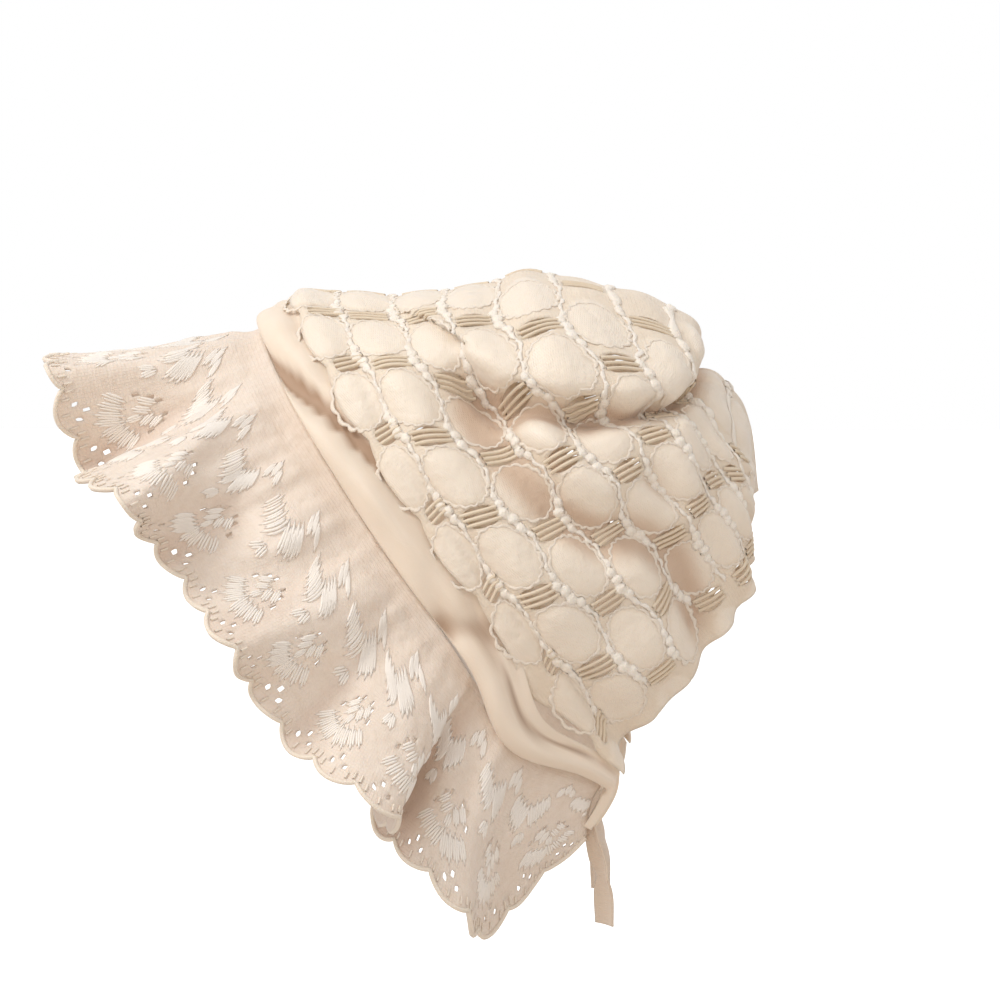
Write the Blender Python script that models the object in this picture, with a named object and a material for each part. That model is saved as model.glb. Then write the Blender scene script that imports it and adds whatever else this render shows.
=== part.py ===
# Baby bonnet, as it sits on a bowed head: a lace crown gathered to the nape,
# a plain puffed band, a wide scalloped ruffle round the face and two ribbon ties.
# +Z is up, the face looks to -Y, and the origin is where the top of the head rests.

from collections import namedtuple
import math

import bpy
import bmesh
import numpy as np
from mathutils import Matrix, Vector

# Driving sizes, in metres
BRIM_HEIGHT = 0.157  # along the brim, from a band end to the top of the arch
BRIM_HALF_WIDTH = 0.057  # half of the arch at its widest
BRIM_BOW = 0.005  # how far the cheeks of the brim come forward
CROWN_DEPTH = 0.078  # from the band to the back of the crown
CROWN_WALL = 0.0012
BAND_WIDTH = 0.0138
BAND_THICKNESS = 0.0042
RUFFLE_WIDTH = 0.060  # from the band to the notches of the hem, at its fullest
RUFFLE_WALL = 0.0010
SCALLOP_DEPTH = 0.0030
TIE_LENGTH = 0.038
TIE_WIDTH = 0.010
TIE_THICKNESS = 0.0010
SEWN_GAP = 0.0003  # between sewn pieces

LEAN = math.radians(36.5)  # how far the brim leans forward at its top
BOW_SKEW = 1.3  # above 1, the brim comes forward most below its middle
BAND_END = 0.35  # width left at the band's ends, as a share of its width
BAND_TAPER_FROM = 0.78  # arc where it starts to narrow
BAND_TAPER_CURVE = 1.5
BAND_PROUD = 0.2  # share of its thickness that lifts it above the brim line
BAND_FLATNESS = (0.7, 0.9)  # of its section across and through, 1 is round
SCALLOPS = 50
COLUMNS_PER_SCALLOP = 3
RUFFLE_ROWS = 6
CROWN_COLUMNS = 56
CROWN_ROWS = 21
BAND_STEPS = 54
BAND_SIDES = 8
TIE_STEPS = 12
ARCH_SAMPLES = 160
TOP_SAMPLES = 400  # places tried for the highest point of the crown
MERGE_WITHIN = 0.00005  # points closer than this become one

# The brim's own frame: X to the wearer's left, Y to the back, Z up along the brim.
# arc runs over the brim from the right foot (-1) by the top (0) to the left (+1).
# Crown arches from the band to the nape. Depths are shares of CROWN_DEPTH, heights
# of BRIM_HEIGHT, width of BRIM_HALF_WIDTH; waist is where the arch is widest, as a
# share of its height, and foot_in the half width left at its foot.
Arch = namedtuple(
    "Arch", "at foot_depth foot_height top_depth top_height width waist foot_in"
)
ARCHES = [
    Arch(0.000, 0.000, 0.000, 0.000, 1.000, 1.00, 0.445, 0.64),
    Arch(0.060, 0.050, 0.035, 0.100, 0.968, 1.03, 0.450, 0.64),
    Arch(0.130, 0.185, 0.040, 0.215, 0.917, 1.05, 0.455, 0.62),
    Arch(0.215, 0.325, 0.050, 0.360, 0.868, 1.04, 0.460, 0.60),
    Arch(0.305, 0.475, 0.075, 0.520, 0.822, 0.99, 0.470, 0.58),
    Arch(0.395, 0.610, 0.095, 0.700, 0.795, 0.90, 0.480, 0.57),
    Arch(0.490, 0.700, 0.135, 0.842, 0.722, 0.77, 0.490, 0.57),
    Arch(0.590, 0.760, 0.175, 0.950, 0.635, 0.61, 0.500, 0.58),
    Arch(0.730, 0.815, 0.205, 1.025, 0.500, 0.44, 0.500, 0.60),
    Arch(0.865, 0.860, 0.225, 1.020, 0.360, 0.27, 0.500, 0.70),
    Arch(1.000, 0.895, 0.240, 0.895, 0.240, 0.00, 0.500, 1.00),
]

# Soft folds of the crown, each along a line on the cloth from one place to another;
# at runs from the band (0) to the nape (1). reach is in the same shares, and height
# is a share of CROWN_DEPTH, raised or sunk.
CrownFold = namedtuple("CrownFold", "arc_from at_from arc_to at_to reach height")
CROWN_FOLDS = [
    CrownFold(+0.16, 0.24, +0.34, 0.38, 0.100, +0.070),
    CrownFold(+0.34, 0.38, +0.52, 0.58, 0.100, +0.080),
    CrownFold(+0.35, 0.24, +0.46, 0.32, 0.045, -0.090),
    CrownFold(+0.47, 0.34, +0.70, 0.54, 0.050, -0.100),
    CrownFold(+0.45, 0.28, +0.70, 0.23, 0.045, -0.065),
    CrownFold(+0.52, 0.33, +0.76, 0.28, 0.050, +0.045),
    CrownFold(+0.60, 0.43, +0.82, 0.35, 0.055, -0.060),
    CrownFold(+0.72, 0.54, +0.94, 0.47, 0.075, +0.035),
    CrownFold(+0.36, 0.11, +0.70, 0.12, 0.060, +0.035),
    CrownFold(+0.78, 0.05, +0.92, 0.15, 0.090, +0.060),
    CrownFold(+0.12, 0.07, +0.28, 0.10, 0.050, -0.030),
    CrownFold(-0.20, 0.25, -0.42, 0.44, 0.100, +0.070),
    CrownFold(-0.36, 0.23, -0.60, 0.43, 0.055, -0.080),
    CrownFold(-0.50, 0.29, -0.76, 0.24, 0.055, -0.050),
    CrownFold(-0.60, 0.40, -0.84, 0.34, 0.060, +0.045),
    CrownFold(-0.72, 0.06, -0.88, 0.15, 0.090, +0.050),
]
FOLDS_RISE_OVER = 0.04  # share of the way to the nape, flat at the band
FOLDS_FALL_OVER = 0.30  # and flat again where the cloth is drawn in
NAPE_PLEATS = 9  # on each side, in the cloth drawn up along the neck edge
NAPE_PLEAT_HEIGHT = 0.016  # share of CROWN_DEPTH
NAPE_PLEATS_FROM = 0.66  # arc where they begin
BAND_GATHERS = 15  # ripples of the crown along the band
BAND_GATHER_HEIGHT = 0.010  # share of CROWN_DEPTH
BAND_GATHER_REACH = 0.08  # share of the way to the nape

# The ruffle's run of folds. reach is a share of RUFFLE_WIDTH; flare opens out from
# the brim's own direction and lean turns towards the foot, in degrees at the hem.
Rib = namedtuple("Rib", "arc reach flare lean")
RIBS = [
    Rib(-1.00, 0.30, 12, 29),
    Rib(-0.95, 0.66, 16, 27),
    Rib(-0.89, 0.98, 30, 22),
    Rib(-0.82, 0.93, 34, 14),
    Rib(-0.75, 0.84, 12, 6),
    Rib(-0.66, 0.88, 38, 8),
    Rib(-0.56, 0.86, 20, 0),
    Rib(-0.46, 0.90, 36, -2),
    Rib(-0.36, 0.88, 20, 0),
    Rib(-0.26, 0.96, 38, 6),
    Rib(-0.17, 0.96, 14, 0),
    Rib(-0.09, 0.98, 30, 4),
    Rib(0.00, 0.96, 27, 0),
    Rib(0.10, 1.00, 33, 8),
    Rib(0.19, 0.98, 12, -6),
    Rib(0.28, 1.05, 40, 10),
    Rib(0.37, 0.87, 22, -4),
    Rib(0.46, 0.85, 18, -8),
    Rib(0.54, 0.90, 36, -3),
    Rib(0.58, 0.84, 14, -2),
    Rib(0.65, 0.86, 24, 2),
    Rib(0.71, 0.88, 40, 16),
    Rib(0.75, 0.76, 8, 9),
    Rib(0.80, 0.84, 28, 12),
    Rib(0.86, 0.97, 34, 16),
    Rib(0.90, 0.98, 24, 23),
    Rib(0.95, 0.64, 14, 27),
    Rib(1.00, 0.30, 12, 29),
]
SEAM_FLARE = 22.0  # degrees, where the ruffle leaves the band
FOLD_GROWTH = 0.7  # below 1, the folds open soon after the seam
SCALLOP_CURVE = 0.7  # below 1, the scallops are full with sharp notches
HEADER_GATHERS = 23  # small gathers where the ruffle is sewn to the band
HEADER_GATHER_HEIGHT = 0.008  # share of RUFFLE_WIDTH
HEADER_REACH = 0.5  # share of the ruffle's width over which they die out

# The tie hangs from the band's end. Shares of TIE_LENGTH down and to the back, turns
# of the ribbon about its own length, and the share of TIE_WIDTH that lies spread.
TieStep = namedtuple("TieStep", "down back turn spread")
TIE_RUN = [
    TieStep(0.00, 0.00, 0.13, 0.42),
    TieStep(0.15, -0.02, 0.13, 0.50),
    TieStep(0.32, -0.08, 0.13, 0.75),
    TieStep(0.62, -0.12, 0.19, 0.90),
    TieStep(0.80, -0.10, 0.15, 1.00),
    TieStep(1.00, -0.08, 0.12, 1.00),
]

CLOTH_ROUGHNESS = 0.72
COLOURS = {
    "crown": (0.86, 0.77, 0.67),
    "band": (0.90, 0.81, 0.70),
    "ruffle": (0.84, 0.74, 0.65),
    "tie": (0.78, 0.67, 0.57),
}


def between(rows, column, at):
    """A table's column at any share, on a smooth curve through its rows."""
    keys = np.array([row[0] for row in rows])
    values = np.array([getattr(row, column) for row in rows])
    slopes = np.gradient(values, keys)
    i = np.clip(np.searchsorted(keys, at, side="right") - 1, 0, len(keys) - 2)
    span = keys[i + 1] - keys[i]
    q = (at - keys[i]) / span
    return (
        values[i] * (1 + 2 * q) * (1 - q) ** 2
        + values[i + 1] * q * q * (3 - 2 * q)
        + slopes[i] * span * q * (1 - q) ** 2
        + slopes[i + 1] * span * q * q * (q - 1)
    )


def arch_outline(at, arcs):
    """Points of the crown's arch at a share of the way to the nape, in the brim's
    frame, for arcs from -1 (right foot) over 0 (top) to 1 (left foot)."""
    part = {name: between(ARCHES, name, at) for name in Arch._fields[1:]}
    angle = np.linspace(0, math.pi / 2, ARCH_SAMPLES)
    half = part["width"] * BRIM_HALF_WIDTH
    side = np.concatenate(
        [
            half * np.sin(angle),
            half * (part["foot_in"] + (1 - part["foot_in"]) * np.cos(angle[1:])),
        ]
    )
    rise = np.concatenate(
        [
            part["waist"] + (1 - part["waist"]) * np.cos(angle),
            part["waist"] * (1 - angle[1:] / angle[-1]),
        ]
    )
    depth = (part["foot_depth"] + (part["top_depth"] - part["foot_depth"]) * rise)
    height = (part["foot_height"] + (part["top_height"] - part["foot_height"]) * rise)
    line = np.stack([side, depth * CROWN_DEPTH, height * BRIM_HEIGHT], axis=1)
    steps = np.linalg.norm(np.diff(line, axis=0), axis=1)
    along = np.concatenate([[0], np.cumsum(steps)])
    along = along / max(along[-1], 1e-9)
    out = np.stack([np.interp(np.abs(arcs), along, line[:, k]) for k in range(3)], 1)
    out[:, 0] *= np.sign(arcs)
    out[:, 1] += band_half(arcs) + SEWN_GAP - bow(arcs) * (1 - at)
    return out


def band_half(arcs):
    """Half the band's width along the brim; it narrows to its ends."""
    share = np.clip((np.abs(arcs) - BAND_TAPER_FROM) / (1 - BAND_TAPER_FROM), 0, 1)
    return BAND_WIDTH / 2 * (1 - (1 - BAND_END) * share**BAND_TAPER_CURVE)


def bow(arcs):
    """How far the brim stands forward along its cheeks."""
    return BRIM_BOW * np.sin(math.pi * np.abs(arcs) ** BOW_SKEW)


def grid_normals(grid):
    """Outward unit normals of a grid of points, rows to the back, columns to the left."""
    along_rows = np.gradient(grid, axis=0)
    along_columns = np.gradient(grid, axis=1)
    normals = np.cross(along_columns, along_rows)
    length = np.linalg.norm(normals, axis=2, keepdims=True)
    return normals / np.maximum(length, 1e-12)


def fold_height(arcs, at):
    """How far the crown's folds stand out, as a share of CROWN_DEPTH."""
    total = np.zeros(np.broadcast(arcs, at).shape)
    for fold in CROWN_FOLDS:
        line = np.array([fold.arc_to - fold.arc_from, fold.at_to - fold.at_from])
        off = (arcs - fold.arc_from) * line[0] + (at - fold.at_from) * line[1]
        share = np.clip(off / (line @ line), 0, 1)
        away = np.hypot(
            arcs - fold.arc_from - share * line[0], at - fold.at_from - share * line[1]
        )
        total = total + fold.height * np.exp(-((away / fold.reach) ** 2))
    return total


def gather_height(arcs, at):
    """Small pleats along the neck edge and ripples along the band."""
    to_foot = np.clip((np.abs(arcs) - NAPE_PLEATS_FROM) / (1 - NAPE_PLEATS_FROM), 0, 1)
    pleats = np.sin(2 * math.pi * NAPE_PLEATS * at) * to_foot**2 * NAPE_PLEAT_HEIGHT
    near_band = np.exp(-((at / BAND_GATHER_REACH) ** 2))
    ripples = np.sin(math.pi * BAND_GATHERS * arcs) * near_band * BAND_GATHER_HEIGHT
    return pleats + ripples


def crown_grid():
    arcs = np.linspace(-1, 1, CROWN_COLUMNS + 1)
    at = np.linspace(0, 1, CROWN_ROWS + 1)
    grid = np.stack([arch_outline(share, arcs) for share in at])
    heights = fold_height(arcs[None, :], at[:, None])
    heights = heights + gather_height(arcs[None, :], at[:, None])
    heights *= np.clip(at / FOLDS_RISE_OVER, 0, 1)[:, None]
    heights *= np.clip((1 - at) / FOLDS_FALL_OVER, 0, 1)[:, None]
    return grid + grid_normals(grid) * heights[..., None] * CROWN_DEPTH


def brim_line(arcs, forward):
    """The brim's arch moved forward of the band's middle, with outward normals."""
    line = arch_outline(0.0, arcs)
    line[:, 1] = -forward - bow(arcs)
    tangents = np.gradient(line, axis=0)
    outward = np.cross([0.0, -1.0, 0.0], tangents)
    outward = outward / np.linalg.norm(outward, axis=1, keepdims=True)
    return line, outward


def ruffle_grid():
    columns = SCALLOPS * COLUMNS_PER_SCALLOP
    arcs = np.linspace(-1, 1, columns + 1)
    seam, outward = brim_line(arcs, band_half(arcs) + SEWN_GAP)
    to_foot = np.gradient(seam, axis=0) * np.sign(arcs + 1e-9)[:, None]
    to_foot = to_foot / np.linalg.norm(to_foot, axis=1, keepdims=True)
    forward = np.array([0.0, -1.0, 0.0])
    scallop = np.abs(np.sin(math.pi * SCALLOPS * (arcs + 1) / 2)) ** SCALLOP_CURVE
    reach = between(RIBS, "reach", arcs) * RUFFLE_WIDTH + SCALLOP_DEPTH * scallop
    flare = between(RIBS, "flare", arcs)
    lean = np.radians(between(RIBS, "lean", arcs))
    gathers = HEADER_GATHER_HEIGHT * np.sin(2 * math.pi * HEADER_GATHERS * arcs)
    rows = []
    for out in np.linspace(0, 1, RUFFLE_ROWS + 1):
        grown = out**FOLD_GROWTH
        opened = np.radians(SEAM_FLARE + (flare - SEAM_FLARE) * grown)
        turned = lean * grown
        straight = forward * np.cos(opened)[:, None] + outward * np.sin(opened)[:, None]
        across = outward * np.cos(opened)[:, None] - forward * np.sin(opened)[:, None]
        way = straight * np.cos(turned)[:, None] + to_foot * np.sin(turned)[:, None]
        stand = gathers * RUFFLE_WIDTH * math.sin(math.pi * min(out / HEADER_REACH, 1.0))
        rows.append(seam + way * (reach * out)[:, None] + across * stand[:, None])
    return np.stack(rows)


def material(name):
    made = bpy.data.materials.new(name)
    made.use_nodes = True
    shader = made.node_tree.nodes["Principled BSDF"]
    shader.inputs["Base Color"].default_value = (*COLOURS[name], 1.0)
    shader.inputs["Roughness"].default_value = CLOTH_ROUGHNESS
    shader.inputs["Metallic"].default_value = 0.0
    return made


def add_object(name, bm, surface):
    mesh = bpy.data.meshes.new(name)
    bm.to_mesh(mesh)
    bm.free()
    mesh.materials.append(surface)
    mesh.shade_smooth()
    made = bpy.data.objects.new(name, mesh)
    bpy.context.scene.collection.objects.link(made)
    return made


def laid_grid(grid):
    """A mesh laid on a grid of points; points that coincide become one."""
    rows, columns = grid.shape[0] - 1, grid.shape[1] - 1
    bm = bmesh.new()
    bmesh.ops.create_grid(bm, x_segments=columns, y_segments=rows, size=1.0)
    for vertex in bm.verts:
        column = round((vertex.co.x + 1) / 2 * columns)
        row = round((vertex.co.y + 1) / 2 * rows)
        vertex.co = Vector(grid[row, column])
    bmesh.ops.remove_doubles(bm, verts=bm.verts, dist=MERGE_WITHIN)
    return bm


def cloth_wall(name, grid, wall, surface):
    """A sheet of cloth on a grid of points, given its thickness inwards."""
    made = add_object(name, laid_grid(grid), surface)
    solidify = made.modifiers.new("wall", "SOLIDIFY")
    solidify.thickness = wall
    solidify.offset = -1.0
    return made


def swept(name, rings, surface):
    """A closed bar through rings of points, capped at both ends."""
    closed = [list(ring) + [ring[0]] for ring in rings]
    bm = laid_grid(np.array(closed))
    rims = [edge for edge in bm.edges if edge.is_boundary]
    bmesh.ops.holes_fill(bm, edges=rims, sides=0)
    bmesh.ops.recalc_face_normals(bm, faces=bm.faces)
    return add_object(name, bm, surface)


def band_rings():
    """The band's soft rounded section, carried along the brim."""
    arcs = np.linspace(-1, 1, BAND_STEPS + 1)
    line, outward = brim_line(arcs, 0.0)
    line = line + outward * BAND_THICKNESS * BAND_PROUD
    rings = []
    for place, out, half in zip(line, outward, band_half(arcs)):
        ring = []
        for k in range(BAND_SIDES):
            turn = 2 * math.pi * (k + 0.5) / BAND_SIDES
            back = math.copysign(abs(math.cos(turn)) ** BAND_FLATNESS[0], math.cos(turn))
            up = math.copysign(abs(math.sin(turn)) ** BAND_FLATNESS[1], math.sin(turn))
            offset = np.array([0.0, back * half, 0.0])
            ring.append(place + offset + out * up * BAND_THICKNESS / 2)
        rings.append(ring)
    return rings


def seat_in_brim():
    """The inside of the crown at its highest point, in the brim's frame."""
    at = np.linspace(0, 1, TOP_SAMPLES)
    depth = BAND_WIDTH / 2 + between(ARCHES, "top_depth", at) * CROWN_DEPTH
    height = between(ARCHES, "top_height", at) * BRIM_HEIGHT
    level = depth * math.sin(LEAN) + height * math.cos(LEAN)
    top = int(np.argmax(level))
    under = Vector((0, -math.sin(LEAN), -math.cos(LEAN))) * CROWN_WALL
    return Vector((0.0, depth[top], height[top])) + under


def tie_rings(side, foot, leaving):
    """The ribbon's flat section from the band's end down, with its twist. leaving is
    the way the band runs out at its end."""
    rings = []
    for step in np.linspace(0, 1, TIE_STEPS + 1):
        back = float(between(TIE_RUN, "back", step)) * TIE_LENGTH
        turn = float(between(TIE_RUN, "turn", step)) * 2 * math.pi * side
        wide = float(between(TIE_RUN, "spread", step)) * TIE_WIDTH
        flat = Vector((math.sin(turn), math.cos(turn), 0)) * wide / 2
        thick = Vector((math.cos(turn), -math.sin(turn), 0)) * TIE_THICKNESS / 2
        place = foot + Vector((0, back, -step * TIE_LENGTH))
        ring = [place + flat + thick, place + flat - thick]
        ring += [place - flat - thick, place - flat + thick]
        rings.append(ring)
    # the top is cut along the band's end face
    for point in rings[0]:
        across = (point - foot) * Vector((1, 1, 0))
        point.z = foot.z + (SEWN_GAP - across.dot(leaving)) / leaving.z
    return rings


def build():
    for old in list(bpy.data.objects):
        bpy.data.objects.remove(old)

    brim = bpy.data.objects.new("brim_frame", None)
    bpy.context.scene.collection.objects.link(brim)
    turn = Matrix.Rotation(LEAN, 4, "X")
    brim.rotation_euler = (LEAN, 0.0, 0.0)
    brim.location = -(turn @ seat_in_brim())
    to_row = Matrix.Translation(brim.location) @ turn

    crown = cloth_wall("crown", crown_grid(), CROWN_WALL, material("crown"))
    ruffle = cloth_wall("ruffle", ruffle_grid()[::-1], RUFFLE_WALL, material("ruffle"))
    band = swept("band", band_rings(), material("band"))
    for piece in (crown, ruffle, band):
        piece.parent = brim

    ribbon = material("tie")
    line = brim_line(np.linspace(-1, 1, BAND_STEPS + 1), 0.0)[0]
    for name, side, end, before in (
        ("tie_right", -1, line[0], line[1]),
        ("tie_left", 1, line[-1], line[-2]),
    ):
        run = Vector((end - before) * np.array([1.0, 0.0, 1.0])).normalized()
        foot = to_row @ Vector(end)
        swept(name, tie_rings(side, foot, turn.to_3x3() @ run), ribbon)


build()
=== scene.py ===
import math

import bmesh
import bpy
import numpy as np
from mathutils import Matrix, Vector


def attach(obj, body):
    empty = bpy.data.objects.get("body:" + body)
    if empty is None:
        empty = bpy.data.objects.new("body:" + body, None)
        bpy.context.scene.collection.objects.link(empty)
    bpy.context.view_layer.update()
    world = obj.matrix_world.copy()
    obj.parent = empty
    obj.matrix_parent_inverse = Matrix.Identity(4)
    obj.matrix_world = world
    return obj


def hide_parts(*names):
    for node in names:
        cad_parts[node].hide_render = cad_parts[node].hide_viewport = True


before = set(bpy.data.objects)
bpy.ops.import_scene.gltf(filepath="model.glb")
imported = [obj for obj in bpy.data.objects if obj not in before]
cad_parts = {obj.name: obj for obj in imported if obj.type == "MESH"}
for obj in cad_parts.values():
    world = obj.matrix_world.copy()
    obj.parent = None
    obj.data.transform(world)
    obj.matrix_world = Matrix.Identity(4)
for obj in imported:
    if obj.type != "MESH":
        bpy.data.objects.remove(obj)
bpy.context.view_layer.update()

# The bonnet's sizes in metres, as its solids have them.
bonnet = {
    "brimHeight": 0.157,
    "brimHalfWidth": 0.057,
    "brimBow": 0.005,
    "bowSkew": 1.3,
    "crownDepth": 0.078,
    "crownWall": 0.0012,
    "bandWidth": 0.0138,
    "bandEnd": 0.35,  # width left at the band's ends, as a share
    "bandTaperFrom": 0.78,
    "bandTaperCurve": 1.5,
    "sewnGap": 0.0003,
    "archHalf": 0.188,  # along the arch from its top to a foot
    "lean": math.radians(36.5),
}

# Crown arches from the band (at 0) to the nape (at 1), as shares of the sizes above.
archNames = ("at", "footDepth", "footHeight", "topDepth", "topHeight", "width", "waist", "footIn")
archRows = [
    (0.000, 0.000, 0.000, 0.000, 1.000, 1.00, 0.445, 0.64),
    (0.060, 0.050, 0.035, 0.100, 0.968, 1.03, 0.450, 0.64),
    (0.130, 0.185, 0.040, 0.215, 0.917, 1.05, 0.455, 0.62),
    (0.215, 0.325, 0.050, 0.360, 0.868, 1.04, 0.460, 0.60),
    (0.305, 0.475, 0.075, 0.520, 0.822, 0.99, 0.470, 0.58),
    (0.395, 0.610, 0.095, 0.700, 0.795, 0.90, 0.480, 0.57),
    (0.490, 0.700, 0.135, 0.842, 0.722, 0.77, 0.490, 0.57),
    (0.590, 0.760, 0.175, 0.950, 0.635, 0.61, 0.500, 0.58),
    (0.730, 0.815, 0.205, 1.025, 0.500, 0.44, 0.500, 0.60),
    (0.865, 0.860, 0.225, 1.020, 0.360, 0.27, 0.500, 0.70),
    (1.000, 0.895, 0.240, 0.895, 0.240, 0.00, 0.500, 1.00),
]


def fromTable(rows, names, name, at):
    # a column of a table at any share, on a smooth curve through its rows
    keys = np.array([row[0] for row in rows])
    values = np.array([row[names.index(name)] for row in rows])
    slopes = np.gradient(values, keys)
    at = np.asarray(at, float)
    i = np.clip(np.searchsorted(keys, at, side="right") - 1, 0, len(keys) - 2)
    span = keys[i + 1] - keys[i]
    q = (at - keys[i]) / span
    return (
        values[i] * (1 + 2 * q) * (1 - q) ** 2
        + values[i + 1] * q * q * (3 - 2 * q)
        + slopes[i] * span * q * (1 - q) ** 2
        + slopes[i + 1] * span * q * q * (q - 1)
    )


def smooth(value, low, high):
    q = np.clip((value - low) / (high - low), 0, 1)
    return q * q * (3 - 2 * q)


def bandHalf(arcs):
    share = np.clip((np.abs(arcs) - bonnet["bandTaperFrom"]) / (1 - bonnet["bandTaperFrom"]), 0, 1)
    return bonnet["bandWidth"] / 2 * (1 - (1 - bonnet["bandEnd"]) * share ** bonnet["bandTaperCurve"])


def bowAt(arcs):
    return bonnet["brimBow"] * np.sin(math.pi * np.abs(arcs) ** bonnet["bowSkew"])


def archOutline(at, arcs):
    # the crown's arch in the brim's frame, for arcs from -1 (right foot) to 1 (left foot)
    part = {name: fromTable(archRows, archNames, name, at) for name in archNames[1:]}
    angle = np.linspace(0, math.pi / 2, 160)
    half = part["width"] * bonnet["brimHalfWidth"]
    inner = half * (part["footIn"] + (1 - part["footIn"]) * np.cos(angle[1:]))
    side = np.concatenate([half * np.sin(angle), inner])
    lower = part["waist"] * (1 - angle[1:] / angle[-1])
    rise = np.concatenate([part["waist"] + (1 - part["waist"]) * np.cos(angle), lower])
    depth = part["footDepth"] + (part["topDepth"] - part["footDepth"]) * rise
    height = part["footHeight"] + (part["topHeight"] - part["footHeight"]) * rise
    line = np.stack([side, depth * bonnet["crownDepth"], height * bonnet["brimHeight"]], axis=1)
    along = np.concatenate([[0], np.cumsum(np.linalg.norm(np.diff(line, axis=0), axis=1))])
    along = along / max(along[-1], 1e-9)
    out = np.stack([np.interp(np.abs(arcs), along, line[:, k]) for k in range(3)], 1)
    out[:, 0] *= np.sign(arcs)
    out[:, 1] += bandHalf(arcs) + bonnet["sewnGap"] - bowAt(arcs) * (1 - at)
    return out


def brimLine(arcs, forward):
    line = archOutline(0.0, arcs)
    line[:, 1] = -forward - bowAt(arcs)
    outward = np.cross([0.0, -1.0, 0.0], np.gradient(line, axis=0))
    return line, outward / np.linalg.norm(outward, axis=1, keepdims=True)


def seatInBrim():
    at = np.linspace(0, 1, 400)
    depth = bonnet["bandWidth"] / 2
    depth = depth + fromTable(archRows, archNames, "topDepth", at) * bonnet["crownDepth"]
    height = fromTable(archRows, archNames, "topHeight", at) * bonnet["brimHeight"]
    lean = bonnet["lean"]
    top = int(np.argmax(depth * math.sin(lean) + height * math.cos(lean)))
    under = Vector((0, -math.sin(lean), -math.cos(lean))) * bonnet["crownWall"]
    return Vector((0.0, depth[top], height[top])) + under


leanTurn = Matrix.Rotation(bonnet["lean"], 4, "X")
brimToRow = np.array(Matrix.Translation(-(leanTurn @ seatInBrim())) @ leanTurn)


def toRow(points):
    return np.asarray(points) @ brimToRow[:3, :3].T + brimToRow[:3, 3]


# Surfaces: a fine grid of points that finer work is laid on by its two shares.

def unit(vectors):
    return vectors / np.maximum(np.linalg.norm(vectors, axis=-1, keepdims=True), 1e-12)


def surfaceFrom(points, rowKeys, columnKeys):
    byRow = np.gradient(points, axis=0)
    byColumn = np.gradient(points, axis=1)
    return {
        "points": points,
        "normals": unit(np.cross(byColumn, byRow)),
        "byColumn": unit(byColumn),
        "byRow": unit(byRow),
        "rowKeys": rowKeys,
        "columnKeys": columnKeys,
    }


def readSurface(surface, field, rowAt, columnAt):
    # the field at any pair of shares, straight between the grid's points
    values = surface[field]
    rowKeys, columnKeys = surface["rowKeys"], surface["columnKeys"]
    r = np.clip(np.interp(rowAt, rowKeys, np.arange(len(rowKeys))), 0, len(rowKeys) - 1.001)
    c = np.clip(np.interp(columnAt, columnKeys, np.arange(len(columnKeys))), 0, len(columnKeys) - 1.001)
    i, j = r.astype(int), c.astype(int)
    a, b = (r - i)[..., None], (c - j)[..., None]
    low = values[i, j] * (1 - b) + values[i, j + 1] * b
    high = values[i + 1, j] * (1 - b) + values[i + 1, j + 1] * b
    return low * (1 - a) + high * a


def liftedFrom(surface, rowAt, columnAt, lift):
    place = readSurface(surface, "points", rowAt, columnAt)
    normal = unit(readSurface(surface, "normals", rowAt, columnAt))
    return place + normal * np.asarray(lift)[..., None]


def awayFromLine(line, x, y):
    # distance to a run of points, the side it lies on, and the way across the run
    best = np.full(np.broadcast(x, y).shape, 9.0)
    side, acrossX, acrossY = np.zeros(best.shape), np.zeros(best.shape), np.zeros(best.shape)
    for start, end in zip(line[:-1], line[1:]):
        run = np.array(end) - np.array(start)
        off = ((x - start[0]) * run[0] + (y - start[1]) * run[1]) / (run @ run)
        share = np.clip(off, 0, 1)
        dx, dy = x - start[0] - share * run[0], y - start[1] - share * run[1]
        away = np.hypot(dx, dy)
        nearer = away < best
        best = np.where(nearer, away, best)
        side = np.where(nearer, np.sign(run[0] * dy - run[1] * dx), side)
        length = math.hypot(run[0], run[1])
        acrossX = np.where(nearer, run[1] / length, acrossX)
        acrossY = np.where(nearer, -run[0] / length, acrossY)
    return best, side, acrossX, acrossY


def foldField(folds, x, y):
    # how far the folds stand out, and how far they hang over along each share
    height = np.zeros(np.broadcast(x, y).shape)
    slideX, slideY = np.zeros(height.shape), np.zeros(height.shape)
    for fold in folds:
        away, side, acrossX, acrossY = awayFromLine(fold["line"], x, y)
        reach = np.where(side < 0, fold.get("below", fold["reach"]), fold["reach"])
        near = np.exp(-((away / reach) ** 2))
        height = height + near * fold["height"]
        slideX = slideX + near * fold.get("slump", 0.0) * acrossX
        slideY = slideY + near * fold.get("slump", 0.0) * acrossY
    return height, slideX, slideY


# Mesh helpers

def layGrid(bm, points, shares=None, values=None):
    # a grid of faces on points[row, column], with its shares kept as the UV map
    rows, columns = points.shape[:2]
    uvLayer = bm.loops.layers.uv.verify() if shares is not None else None
    layers = {name: bm.verts.layers.float.new(name) for name in values or {}}
    made = bmesh.ops.create_grid(bm, x_segments=columns - 1, y_segments=rows - 1, size=1.0)["verts"]
    flat = points.reshape(-1, 3)
    for vertex, place in zip(made, flat):
        vertex.co = place
    if shares is not None:
        flatShares = shares.reshape(-1, 2)
        order = {vertex: i for i, vertex in enumerate(made)}
        for face in {face for vertex in made for face in vertex.link_faces}:
            for loop in face.loops:
                loop[uvLayer].uv = flatShares[order[loop.vert]]
    for name, layer in layers.items():
        for vertex, number in zip(made, values[name].reshape(-1)):
            vertex[layer] = float(number)
    return made


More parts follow.
